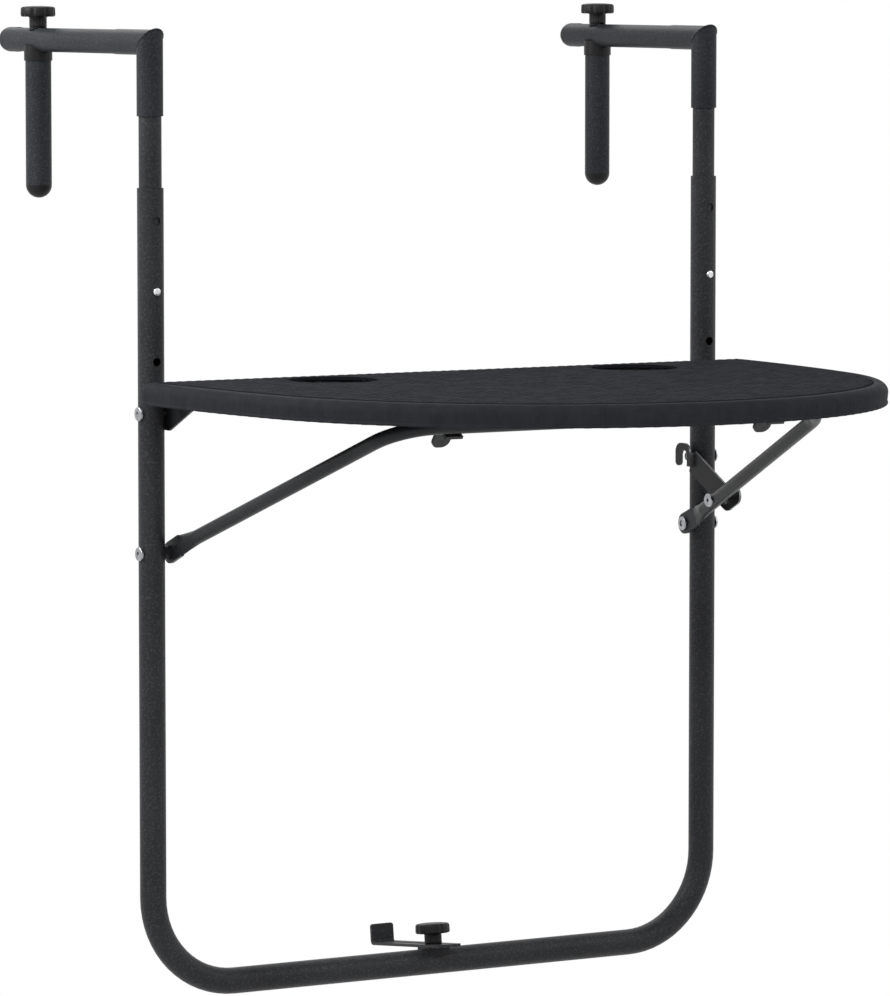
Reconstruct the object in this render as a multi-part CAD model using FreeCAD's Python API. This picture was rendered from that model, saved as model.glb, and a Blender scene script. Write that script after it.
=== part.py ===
import FreeCAD, Part
import math
import os

# Balcony railing bar table, hung on a railing by two clamping hooks.
# Millimetres. +X is to the right for a person sitting at the table, -Y points at that person,
# +Y points over the railing, +Z is up. The origin lies midway between the two hooks, in the plane
# of the two upright axes, at the height of the hook arms' undersides, which rest on the railing.

V = FreeCAD.Vector
X_AXIS = V(1, 0, 0)
Y_AXIS = V(0, 1, 0)
Z_AXIS = V(0, 0, 1)

# Tubes: outside diameter and wall
FRAME_TUBE_D = 22.0
FRAME_TUBE_WALL = 1.4
SLIDE_FIT = 0.1
INNER_TUBE_WALL = 1.2
SLEEVE_D = 22.0
SLEEVE_FIT = 0.05
ARM_D = 21.0
ARM_WALL = 1.5
BRACE_D = 12.0
BRACE_WALL = 1.2
JAW_D = 22.0
JAW_WALL = 1.5

# Frame: heights are below the railing top
UPRIGHT_SPACING = 544.0
FRAME_TOP_Z = -109.0
BAR_AXIS_Z = -774.5
FRAME_BEND_R = 76.0
HOLE_MID_Z = -194.0
HOLE_PITCH = 58.0
HOLE_D = 7.2

# Hooks
SLEEVE_BOTTOM_Z = -50.0
INNER_TUBE_BOTTOM_Z = -212.0
INNER_TUBE_TOP_GAP = 14.0
ARM_END_Y = 231.0
ARM_SPLAY_DEG = 2.45
SLOT_START_Y = 55.0
SLOT_END_Y = 215.0
SLOT_W = 6.6
CAP_STEM = 10.0
CAP_WALL = 2.0
PLUG_FIT = 0.1

# Jaws
JAW_Y = 185.0
JAW_BOTTOM_Z = -112.0
SADDLE_H = 7.0
SADDLE_GAP = 0.2
SADDLE_LIP = 1.0
NUT_L = 14.0

# Clamp and spacer knobs
KNOB_HEAD_D = 29.4
KNOB_HEAD_H = 9.1
KNOB_NECK_D = 14.8
KNOB_H = 18.0
KNOB_GAP = 0.1
KNOB_SCALLOPS = 8
KNOB_SCALLOP_R = 5.0
KNOB_SCALLOP_DEPTH = 0.9
SCREW_D = 6.0
SCREW_FIT = 0.05
SCREW_TIP = 10.0

# Snap clips
BUTTON_D = 6.6
BUTTON_PROUD = 1.2
BUTTON_STEM_D = 3.0
CLIP_W = 8.0
CLIP_T = 0.8
CLIP_LEG = 30.0

# Table top
TABLE_WIDTH = 597.0
TABLE_DEPTH = 435.0
TABLE_SIDE_R = 1185.0
TABLE_T = 18.0
TABLE_REAR_Y = -22.0
TABLE_TOP_Z = -267.0
TABLE_CORNER_R = 8.0
RIM_TOP_R = 6.0
RIM_BOTTOM_R = 3.0
RIM_WALL = 6.0
SKIN_T = 4.0
RIB_T = 2.5
RIB_PITCH = 74.0
CUP_D = 73.0
CUP_DEPTH = 4.0
CUP_X = 147.0
CUP_FROM_REAR = 62.5

# Hinge brackets and pivots
TABLE_PIVOT_DROP = 10.0
PLATE_T = 2.0
BRACKET_REACH = 38.0
BRACKET_R = 14.0
BRACKET_FLANGE_W = 26.0
PIVOT_D = 6.0
PIVOT_FIT = 0.05
FACE_GAP = 0.4
HEAD_D = 12.0
HEAD_H = 2.0

# Brace
BRACE_PIVOT_DROP = 116.0
BRACE_REACH = 289.0
BRACE_TOE_IN = 0.182
BRACE_BEND_R = 40.0
BRACE_STANDOFF = 5.0
FLAT_T = 3.0
FLAT_W = 18.0
FLAT_END = 18.0
CRIMP_END = 38.0
OVAL_ARCS = 8

# Crossbar catches
CATCH_X = 154.0
CATCH_W = 16.0
CATCH_T = 2.5
CATCH_GAP = 0.4
CATCH_RAMP_DEG = 30.0
CATCH_RAMP = 5.0
CATCH_TONGUE = 28.0
CATCH_TONGUE_DEG = 37.0
CATCH_PAD = 30.0

# Latch
LATCH_PIN_D = 7.0
LATCH_PIN_DROP = 57.5
LATCH_RIVET_REACH = 62.0
LATCH_W = 20.0
LATCH_SLOT_W = 9.0
LATCH_TOOTH_W = 9.0
LATCH_EAR_FRONT = 4.0
LATCH_EAR_RISE = 8.0
LATCH_EAR_DROP = 8.4
LATCH_EAR_R = 8.0
LATCH_TOOTH_R = 4.0
LATCH_THUMB_REACH = 12.0
LATCH_THUMB_FALL = -4.0
LATCH_THUMB_R = 8.0
LATCH_JOG = 1.0
RIVET_D = 5.0
RIVET_HEAD_D = 11.5
RIVET_HEAD_H = 1.4

# Bottom spacer
STRIP_W = 22.0
STRIP_T = 2.5
STRIP_REAR_Y = 88.0
STRIP_FRONT_Y = -27.0
STRIP_TAB_H = 18.0
STRIP_BEND_R = 4.0
STRIP_SLOT_FRONT_Y = -6.0
STRIP_SLOT_REAR_Y = 66.0
STRIP_SLOT_W = 6.8
SPACER_TILT_DEG = 6.5
SPACER_SADDLE_W = 20.0
SPACER_SADDLE_T = 1.2
SPACER_SADDLE_D = 20.0
RIVET_NUT_D = 9.0
RIVET_NUT_L = 10.0
RIVET_NUT_RIM = 0.5

# Screws into the table top
WOOD_SCREW_D = 4.0
WOOD_SCREW_HEAD_D = 8.0
WOOD_SCREW_HEAD_H = 2.2
WOOD_SCREW_L = 10.0
SCREW_SPACING = 24.0

# Places worked out from the sizes above
HALF_SPACING = UPRIGHT_SPACING / 2
FRAME_R = FRAME_TUBE_D / 2
FRAME_BORE_R = FRAME_R - FRAME_TUBE_WALL
INNER_R = FRAME_BORE_R - SLIDE_FIT
INNER_BORE_R = INNER_R - INNER_TUBE_WALL
ARM_AXIS_Z = ARM_D / 2
INNER_FACE_X = HALF_SPACING - FRAME_R
TABLE_UNDER_Z = TABLE_TOP_Z - TABLE_T
TABLE_PIVOT_Z = TABLE_UNDER_Z - TABLE_PIVOT_DROP
BRACE_PIVOT_Z = TABLE_PIVOT_Z - BRACE_PIVOT_DROP
LATCH_PIN_Z = TABLE_PIVOT_Z - LATCH_PIN_DROP
BRACE_RISE = BRACE_PIVOT_DROP + TABLE_PIVOT_DROP - BRACE_D / 2 - CATCH_GAP
BRACE_SLOPE = BRACE_RISE / BRACE_REACH
BRACE_FLAT_X = INNER_FACE_X - BRACE_STANDOFF - FLAT_T / 2
CROSSBAR_Y = -BRACE_REACH
CROSSBAR_Z = BRACE_PIVOT_Z + BRACE_RISE
LATCH_X = BRACE_FLAT_X + FLAT_T / 2 + 0.3
LATCH_HOOK_X = LATCH_X - LATCH_JOG - PLATE_T - 0.5


def tube_face(centre, normal, outer_r, inner_r):
    """Ring-shaped face across a tube, or a disc where the inner radius is zero."""
    wires = [Part.Wire([Part.makeCircle(outer_r, centre, normal)])]
    if inner_r > 0:
        wires.append(Part.Wire([Part.makeCircle(inner_r, centre, normal)]))
    return Part.makeFace(wires, "Part::FaceMakerBullseye")


def join(shapes):
    """One clean solid from pieces that touch or overlap."""
    body = shapes[0].fuse(shapes[1:]) if len(shapes) > 1 else shapes[0]
    return body.removeSplitter()


def bent_tube(points, bend_r, outer_r, inner_r):
    """Round tube along straight runs that meet in arcs of one radius."""
    pieces = []
    start = points[0]
    for i in range(1, len(points)):
        corner = points[i]
        run = (corner - points[i - 1]).normalize()
        if i == len(points) - 1:
            face = tube_face(start, run, outer_r, inner_r)
            pieces.append(face.extrude(corner - start))
            break
        leave = (points[i + 1] - corner).normalize()
        turn = run.getAngle(leave)
        setback = bend_r * math.tan(turn / 2)
        bend_start = corner - run * setback
        face = tube_face(start, run, outer_r, inner_r)
        pieces.append(face.extrude(bend_start - start))
        axis = run.cross(leave).normalize()
        centre = bend_start + axis.cross(run) * bend_r
        face = tube_face(bend_start, run, outer_r, inner_r)
        pieces.append(face.revolve(centre, axis, math.degrees(turn)))
        start = corner + leave * setback
    return join(pieces)


def rod(radius, start, end):
    """Plain round bar between two points."""
    return Part.makeCylinder(radius, (end - start).Length, start, end - start)


def pipe(outer_r, inner_r, start, end):
    """Straight tube between two points."""
    return rod(outer_r, start, end).cut(rod(inner_r, start, end))


def oval(centre, long_half, short_half):
    """Closed smooth oval in arcs, drawn through points; its two half-axes are given as vectors."""
    edges = []
    for quarter in range(OVAL_ARCS):
        points = []
        for step in range(3):
            angle = 2 * math.pi * (quarter + step / 2) / OVAL_ARCS
            points.append(centre + long_half * math.cos(angle) + short_half * math.sin(angle))
        edges.append(Part.Arc(*points).toShape())
    return Part.Wire(edges)


def block(x0, x1, y0, y1, z0, z1):
    """Box from its low and high sides."""
    return Part.makeBox(x1 - x0, y1 - y0, z1 - z0, V(x0, y0, z0))


def profile_x(points, x0, x1):
    """Plate of a (y, z) outline between two places on the X axis."""
    corners = [V(x0, y, z) for y, z in points]
    face = Part.Face(Part.makePolygon(corners + corners[:1]))
    return face.extrude(V(x1 - x0, 0, 0))


def mirrored(shape):
    """The same piece on the other side of the table."""
    return shape.mirror(V(0, 0, 0), X_AXIS)


def place_hook(shape, side):
    """Turns a hook piece outwards by the splay and sets it on its upright."""
    placed = shape.copy()
    placed.rotate(V(0, 0, 0), Z_AXIS, -side * ARM_SPLAY_DEG)
    placed.translate(V(side * HALF_SPACING, 0, 0))
    return placed


def knob(foot):
    """Round knob with a fluted neck: the head's rim has shallow scallops and a domed top."""
    neck = rod(KNOB_NECK_D / 2, foot, foot + V(0, 0, KNOB_H - KNOB_HEAD_H + 1))
    head_foot = foot + V(0, 0, KNOB_H - KNOB_HEAD_H)
    head = rod(KNOB_HEAD_D / 2, head_foot, head_foot + V(0, 0, KNOB_HEAD_H))
    rims = [e for e in head.Edges if abs(e.Length - math.pi * KNOB_HEAD_D) < 0.01]
    top = [e for e in rims if e.BoundBox.ZMin > head_foot.z + KNOB_HEAD_H / 2]
    bottom = [e for e in rims if e.BoundBox.ZMin < head_foot.z + KNOB_HEAD_H / 2]
    head = head.makeFillet(KNOB_HEAD_H * 0.4, top)
    bottom = [e for e in head.Edges if abs(e.BoundBox.ZMax - head_foot.z) < 0.001
              and abs(e.Length - math.pi * KNOB_HEAD_D) < 0.01]
    head = head.makeFillet(KNOB_HEAD_H * 0.12, bottom)
    ring = KNOB_HEAD_D / 2 + KNOB_SCALLOP_R - KNOB_SCALLOP_DEPTH
    cuts = []
    for i in range(KNOB_SCALLOPS):
        angle = 2 * math.pi * (i + 0.5) / KNOB_SCALLOPS
        base = head_foot + V(ring * math.cos(angle), ring * math.sin(angle), -1)
        cuts.append(rod(KNOB_SCALLOP_R, base, base + V(0, 0, KNOB_HEAD_H + 2)))
    return join([neck, head]).cut(cuts)


def make_frame():
    """U-shaped frame: two uprights and the bottom bar, bent from one tube."""
    top_left = V(-HALF_SPACING, 0, FRAME_TOP_Z)
    top_right = V(HALF_SPACING, 0, FRAME_TOP_Z)
    low_left = V(-HALF_SPACING, 0, BAR_AXIS_Z)
    low_right = V(HALF_SPACING, 0, BAR_AXIS_Z)
    path = [top_left, low_left, low_right, top_right]
    body = bent_tube(path, FRAME_BEND_R, FRAME_R, FRAME_BORE_R)
    cuts = []
    for side in (-1, 1):
        for step in (-1, 0, 1):
            z = HOLE_MID_Z + step * HOLE_PITCH
            foot = V(side * HALF_SPACING, 0, z)
            cuts.append(rod(HOLE_D / 2, foot, foot - Y_AXIS * FRAME_TUBE_D))
        for z in (TABLE_PIVOT_Z, BRACE_PIVOT_Z):
            foot = V(side * (HALF_SPACING - FRAME_TUBE_D), 0, z)
            cuts.append(rod(PIVOT_D / 2 + PIVOT_FIT, foot, foot + X_AXIS * side * 2 * FRAME_TUBE_D))
    foot = V(HALF_SPACING - FRAME_TUBE_D, 0, LATCH_PIN_Z)
    cuts.append(rod(LATCH_PIN_D / 2 + PIVOT_FIT, foot, foot + X_AXIS * 2 * FRAME_TUBE_D))
    cuts.append(tilted(rod(RIVET_NUT_D / 2 + PIVOT_FIT, V(0, 0, 0), V(0, 0, FRAME_TUBE_D))))
    return body.cut(cuts)


def pivot_bolt(side, z, inner_end_x):
    """Bolt across an upright with its domed, socketed head on the outer side."""
    outer_x = HALF_SPACING + FRAME_R
    head = rod(HEAD_D / 2, V(outer_x, 0, z), V(outer_x + HEAD_H, 0, z))
    rim = [e for e in head.Edges if e.BoundBox.XMin > outer_x + HEAD_H / 2]
    head = head.makeFillet(HEAD_H * 0.6, rim)
    socket = rod(PIVOT_D / 3, V(outer_x + HEAD_H / 2, 0, z), V(outer_x + HEAD_H * 2, 0, z))
    shank = rod(PIVOT_D / 2, V(inner_end_x, 0, z), V(outer_x + 0.5, 0, z))
    bolt = join([head.cut(socket), shank])
    return bolt if side > 0 else mirrored(bolt)


def pivot_nut(side, z, face_x):
    """Round flanged nut on a pivot bolt's inner end, against the plate's inner face."""
    near = face_x - FACE_GAP
    far = near - HEAD_H
    nut = rod(HEAD_D / 2, V(far, 0, z), V(near, 0, z))
    rim = [e for e in nut.Edges if e.BoundBox.XMax < far + HEAD_H / 2]
    nut = nut.makeFillet(HEAD_H / 3, rim)
    nut = nut.cut(rod(PIVOT_D / 2 + SCREW_FIT, V(far - 1, 0, z), V(near + 1, 0, z)))
    return nut if side > 0 else mirrored(nut)


def make_brace():
    """U-shaped brace tube with its two ends crimped flat for the pivots."""
    slope = math.atan(BRACE_SLOPE)
    toe_start = FLAT_END - FLAT_END / 3

    def axis_x(reach):
        return BRACE_FLAT_X - BRACE_TOE_IN * max(0.0, reach - toe_start)

    def at(side, reach):
        return V(side * axis_x(reach), -reach, BRACE_PIVOT_Z + BRACE_SLOPE * reach)

    points = [at(-1, CRIMP_END), at(-1, BRACE_REACH), at(1, BRACE_REACH), at(1, CRIMP_END)]
    tube = bent_tube(points, BRACE_BEND_R, BRACE_D / 2, BRACE_D / 2 - BRACE_WALL)
    pieces = [tube]
    along = V(0, -math.cos(slope), math.sin(slope))
    across = V(0, math.sin(slope), math.cos(slope))
    for side in (-1, 1):
        eye = V(side * BRACE_FLAT_X, 0, BRACE_PIVOT_Z)
        half_t = X_AXIS * (FLAT_T / 2)
        disc = rod(FLAT_W / 2, eye - half_t, eye + half_t)
        end = eye + along * (FLAT_END / math.cos(slope))
        corners = [eye - across * (FLAT_W / 2), end - across * (FLAT_W / 2),
                   end + across * (FLAT_W / 2), eye + across * (FLAT_W / 2)]
        corners = [c - half_t for c in corners]
        plate = Part.Face(Part.makePolygon(corners + corners[:1])).extrude(half_t * 2)
        tube_start = at(side, CRIMP_END)
        run = (at(side, BRACE_REACH) - tube_start).normalize()
        side_dir = run.cross(across).normalize()
        rise_dir = side_dir.cross(run).normalize()
        flat_start = end - along * 2
        flat_side = along.cross(across).normalize()
        wires = [oval(flat_start, across * (FLAT_W / 2), flat_side * (FLAT_T / 2)),
                 oval(tube_start, rise_dir * (BRACE_D / 2), side_dir * (BRACE_D / 2))]
        pieces += [disc, plate, Part.makeLoft(wires, True, True)]
    body = join(pieces)
    cuts = []
    for side in (-1, 1):
        eye = V(side * BRACE_FLAT_X, 0, BRACE_PIVOT_Z)
        cuts.append(rod(PIVOT_D / 2 + PIVOT_FIT, eye - X_AXIS * FLAT_W, eye + X_AXIS * FLAT_W))
    rivet = latch_rivet_place()
    cuts.append(rod(RIVET_D / 2 + PIVOT_FIT, rivet - X_AXIS * BRACE_D * 3, rivet + X_AXIS * BRACE_D))
    return body.cut(cuts)


def latch_rivet_place():
    """Centre of the latch rivet, on the right leg's axis line seen from the side."""
    return V(LATCH_X, -LATCH_RIVET_REACH, BRACE_PIVOT_Z + BRACE_SLOPE * LATCH_RIVET_REACH)


def leg_inner_x(reach):
    """Distance of the right brace leg's inner and outer sides from the middle."""
    toe_start = FLAT_END - FLAT_END / 3
    centre = BRACE_FLAT_X - BRACE_TOE_IN * (reach - toe_start)
    return centre - BRACE_D / 2, centre + BRACE_D / 2


def make_latch_plate():
    """Latch: a bar from thumb end to hook, with the hook end stepped clear of the pin's end."""
    pivot = latch_rivet_place()
    pin = V(0, 0, LATCH_PIN_Z)
    run = V(0, pin.y - pivot.y, pin.z - pivot.z).normalize()
    up = V(0, -run.z, run.y)
    if up.z < 0:
        up = up * -1
    x0 = LATCH_X
    x1 = LATCH_X + PLATE_T
    centre = V(x0, pivot.y, pivot.z)
    length = math.hypot(pin.y - pivot.y, pin.z - pivot.z)
    body_end = centre + run * (length - LATCH_SLOT_W / 2 - PLATE_T - 2)
    thumb = centre - V(0, LATCH_THUMB_REACH, LATCH_THUMB_FALL)
    thumb_run = (thumb - centre).normalize()
    thumb_up = V(0, -thumb_run.z, thumb_run.y)
    half = up * (LATCH_W / 2)

    def slab(corners, low, high):
        flat = [V(low, c.y, c.z) for c in corners]
        return Part.Face(Part.makePolygon(flat + flat[:1])).extrude(V(high - low, 0, 0))

    bar = slab([centre - half, body_end - half, body_end + half, centre + half], x0, x1)
    hub = rod(LATCH_W / 2, centre, centre + X_AXIS * PLATE_T)
    thumb_half = thumb_up * LATCH_THUMB_R
    hub_half = thumb_up * (LATCH_W / 2)
    neck = slab([centre - hub_half, centre + hub_half, thumb + thumb_half, thumb - thumb_half], x0, x1)
    thumb_disc = rod(LATCH_THUMB_R, thumb, thumb + X_AXIS * PLATE_T)
    hook_x0 = LATCH_HOOK_X
    hook_x1 = LATCH_HOOK_X + PLATE_T
    slot_half = LATCH_SLOT_W / 2
    front_y = -slot_half - LATCH_EAR_FRONT
    rear_y = slot_half + LATCH_TOOTH_W
    low_z = pin.z - LATCH_EAR_DROP
    top_z = pin.z + LATCH_PIN_D / 2 + LATCH_EAR_RISE
    slot_top = pin.z + LATCH_PIN_D / 2 + 2 - slot_half
    ear = block(hook_x0, hook_x1, front_y, rear_y, low_z, top_z)
    upper = [e for e in ear.Edges if e.BoundBox.ZMin > top_z - 0.01 and e.BoundBox.XLength > 1]
    ear = ear.makeFillet(LATCH_EAR_R, upper)
    slot = block(hook_x0 - 1, hook_x1 + 1, -slot_half, slot_half, low_z - 1, slot_top)
    slot = slot.fuse(rod(slot_half, V(hook_x0 - 1, 0, slot_top), V(hook_x1 + 1, 0, slot_top)))
    ear = ear.cut(slot)
    tip = [e for e in ear.Edges if e.BoundBox.ZMax < low_z + 0.01 and e.BoundBox.XLength > 1
           and e.BoundBox.YMin > 0]
    ear = ear.makeFillet(LATCH_TOOTH_R, tip)
    shoulder_z = top_z - LATCH_EAR_R
    web = block(hook_x0, x1, front_y - PLATE_T, front_y + PLATE_T / 2, low_z, shoulder_z)
    link = block(x0, x1, min(body_end.y, front_y) - 2, front_y, low_z, shoulder_z)
    plate = join([bar, hub, neck, thumb_disc, ear, web, link])
    return plate.cut(rod(RIVET_D / 2 + PIVOT_FIT, centre - X_AXIS, centre + X_AXIS * (PLATE_T + 1)))


def make_latch_rivet():
    """Tubular rivet through the brace tube and the latch."""
    place = latch_rivet_place()
    inner_x, _ = leg_inner_x(LATCH_RIVET_REACH)
    tube_end = V(inner_x - 0.2 - BRACE_TOE_IN * RIVET_HEAD_D / 2, place.y, place.z)
    plate_end = V(LATCH_X + PLATE_T + 0.2, place.y, place.z)
    shank = rod(RIVET_D / 2, tube_end, plate_end)
    ring = rod(RIVET_HEAD_D / 2, tube_end - X_AXIS * RIVET_HEAD_H, tube_end)
    ring = ring.makeFillet(RIVET_HEAD_H * 0.45, [e for e in ring.Edges if e.BoundBox.XMax < tube_end.x - 0.1])
    head = rod(RIVET_HEAD_D / 2 - 2, plate_end, plate_end + X_AXIS * 1.0)
    dimple = rod(RIVET_D / 3, tube_end - X_AXIS * RIVET_HEAD_H * 2, tube_end + X_AXIS)
    return join([shank, ring, head]).cut(dimple)


def make_latch_washer():
    """Washer that fills the gap between the brace leg and the latch."""
    place = latch_rivet_place()
    _, outer_x = leg_inner_x(LATCH_RIVET_REACH)
    near = V(outer_x + BRACE_TOE_IN * RIVET_D, place.y, place.z)
    far = V(LATCH_X - 0.15, place.y, place.z)
    return pipe(RIVET_D / 2 + 2, RIVET_D / 2 + SCREW_FIT, near, far)


def make_latch_pin():
    """Headed pin through the right upright; its free end carries the latch."""
    outer_x = HALF_SPACING + FRAME_R
    start = V(LATCH_X - 0.5, 0, LATCH_PIN_Z)
    shank = rod(LATCH_PIN_D / 2, start, V(outer_x + 0.5, 0, LATCH_PIN_Z))
    head = rod(HEAD_D / 2, V(outer_x, 0, LATCH_PIN_Z), V(outer_x + HEAD_H / 2, 0, LATCH_PIN_Z))
    return join([shank, head])


def table_outline(inset):
    """D-shaped outline: straight rear edge, long side arcs, tighter front arc, all tangent."""
    half = TABLE_WIDTH / 2 - inset
    depth = TABLE_DEPTH - 2 * inset
    side_r = TABLE_SIDE_R
    front_r = (half ** 2 + depth ** 2 - 2 * half * side_r) / (2 * (depth - side_r))
    side_centre = half - side_r
    front_centre = depth - front_r
    reach = math.hypot(side_centre, front_centre)
    cos_t = -side_centre / reach
    sin_t = front_centre / reach
    meet_x = side_centre + side_r * cos_t
    meet_f = side_r * sin_t
    mid = math.atan2(sin_t, cos_t) / 2
    mid_x = side_centre + side_r * math.cos(mid)
    mid_f = side_r * math.sin(mid)
    rear = TABLE_REAR_Y - inset

    def at(x, forward):
        return V(x, rear - forward, 0)

    edges = [
        Part.Arc(at(half, 0), at(mid_x, mid_f), at(meet_x, meet_f)).toShape(),
        Part.Arc(at(meet_x, meet_f), at(0, depth), at(-meet_x, meet_f)).toShape(),
        Part.Arc(at(-meet_x, meet_f), at(-mid_x, mid_f), at(-half, 0)).toShape(),
        Part.makeLine(at(-half, 0), at(half, 0)),
    ]
    return Part.Wire(edges)


def screw_places(x, y, along_y):
    """The two screw centres of a bracket or catch."""
    half = SCREW_SPACING / 2
    if along_y:
        return [V(x, y - half, TABLE_UNDER_Z), V(x, y + half, TABLE_UNDER_Z)]
    return [V(x - half, y, TABLE_UNDER_Z), V(x + half, y, TABLE_UNDER_Z)]


def bracket_screws_at(side):
    """Screw centres of one hinge bracket."""
    x = side * (INNER_FACE_X - FACE_GAP - PLATE_T / 2 - BRACKET_FLANGE_W / 2)
    return screw_places(x, TABLE_REAR_Y - RIM_WALL - SCREW_SPACING, True)


def catch_screws_at(side):
    """Screw centres of one crossbar catch, behind the crossbar."""
    y = CROSSBAR_Y + BRACE_D / 2 + CATCH_GAP + CATCH_T + CATCH_PAD / 2
    return screw_places(side * CATCH_X, y, False)


def make_table_top():
    """Moulded top: rounded rim, thin skin on ribs, two shallow round cup rests."""
    blank = Part.Face(table_outline(0)).extrude(V(0, 0, TABLE_T))
    blank.translate(V(0, 0, TABLE_UNDER_Z))
    corners = [e for e in blank.Edges if e.BoundBox.ZLength > TABLE_T * 0.9
               and e.BoundBox.YMin > TABLE_REAR_Y - 0.01]
    blank = blank.makeFillet(TABLE_CORNER_R, corners)
    top = [e for e in blank.Edges if e.BoundBox.ZMin > TABLE_TOP_Z - 0.01]
    blank = blank.makeFillet(RIM_TOP_R, top)
    bottom = [e for e in blank.Edges if e.BoundBox.ZMax < TABLE_UNDER_Z + 0.01]
    blank = blank.makeFillet(RIM_BOTTOM_R, bottom)

    pocket_h = TABLE_T - SKIN_T
    pocket = Part.Face(table_outline(RIM_WALL)).extrude(V(0, 0, pocket_h))
    pocket.translate(V(0, 0, TABLE_UNDER_Z))
    keep = []
    front_y = TABLE_REAR_Y - TABLE_DEPTH
    low = TABLE_UNDER_Z - 1
    high = TABLE_TOP_Z
    count = int(TABLE_WIDTH / 2 / RIB_PITCH) + 1
    for i in range(-count, count + 1):
        x = i * RIB_PITCH
        keep.append(block(x - RIB_T / 2, x + RIB_T / 2, front_y, TABLE_REAR_Y, low, high))
    for i in range(1, int(TABLE_DEPTH / RIB_PITCH) + 1):
        y = TABLE_REAR_Y - i * RIB_PITCH
        keep.append(block(-TABLE_WIDTH / 2, TABLE_WIDTH / 2, y - RIB_T / 2, y + RIB_T / 2, low, high))
    boss_r = WOOD_SCREW_D / 2 + 3
    cuts = []
    for side in (-1, 1):
        cup = V(side * CUP_X, TABLE_REAR_Y - CUP_FROM_REAR, TABLE_TOP_Z)
        floor = SKIN_T + CUP_DEPTH
        keep.append(rod(CUP_D / 2 + SKIN_T, cup - V(0, 0, floor), cup))
        cuts.append(rod(CUP_D / 2, cup - V(0, 0, CUP_DEPTH), cup + V(0, 0, 1)))
        for place in bracket_screws_at(side) + catch_screws_at(side):
            keep.append(rod(boss_r, V(place.x, place.y, low), V(place.x, place.y, high)))
            hole_end = place + V(0, 0, WOOD_SCREW_L + 0.5)
            cuts.append(rod(WOOD_SCREW_D / 2 + SCREW_FIT, place - V(0, 0, 1), hole_end))
    pocket = pocket.cut(keep)
    return blank.cut(pocket).cut(cuts)


def make_hinge_bracket(side):
    """Bracket under the top: a flange on the underside and an ear beside the upright."""
    ear_x1 = INNER_FACE_X - FACE_GAP
    ear_x0 = ear_x1 - PLATE_T
    flange_z0 = TABLE_UNDER_Z - PLATE_T
    rear_y = TABLE_REAR_Y - RIM_BOTTOM_R
    tip_y = -BRACKET_R * 0.7
    tip_z = TABLE_PIVOT_Z - BRACKET_R
    outline = [
        (rear_y, TABLE_UNDER_Z),
        (rear_y - BRACKET_REACH * 0.8, TABLE_UNDER_Z),
        (rear_y - BRACKET_REACH * 0.8, flange_z0),
        (tip_y, tip_z),
        (0, tip_z),
        (0, TABLE_PIVOT_Z + BRACKET_R * 0.65),
        (rear_y, TABLE_UNDER_Z - PLATE_T),
    ]
    ear = profile_x(outline, ear_x0, ear_x1)
    eye = rod(BRACKET_R * 0.72, V(ear_x0, 0, TABLE_PIVOT_Z), V(ear_x1, 0, TABLE_PIVOT_Z))
    flange_y0 = rear_y - SCREW_SPACING * 2
    flange = block(ear_x1 - BRACKET_FLANGE_W, ear_x1, flange_y0, rear_y, flange_z0, TABLE_UNDER_Z)
    bracket = join([ear, eye, flange])
    hole = rod(PIVOT_D / 2 + PIVOT_FIT, V(ear_x0 - 1, 0, TABLE_PIVOT_Z), V(ear_x1 + 1, 0, TABLE_PIVOT_Z))
    cuts = [hole]
    for place in bracket_screws_at(1):
        cuts.append(rod(WOOD_SCREW_D / 2 + 0.2, place - V(0, 0, PLATE_T + 1), place + V(0, 0, 1)))
    bracket = bracket.cut(cuts)
    return bracket if side > 0 else mirrored(bracket)


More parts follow.
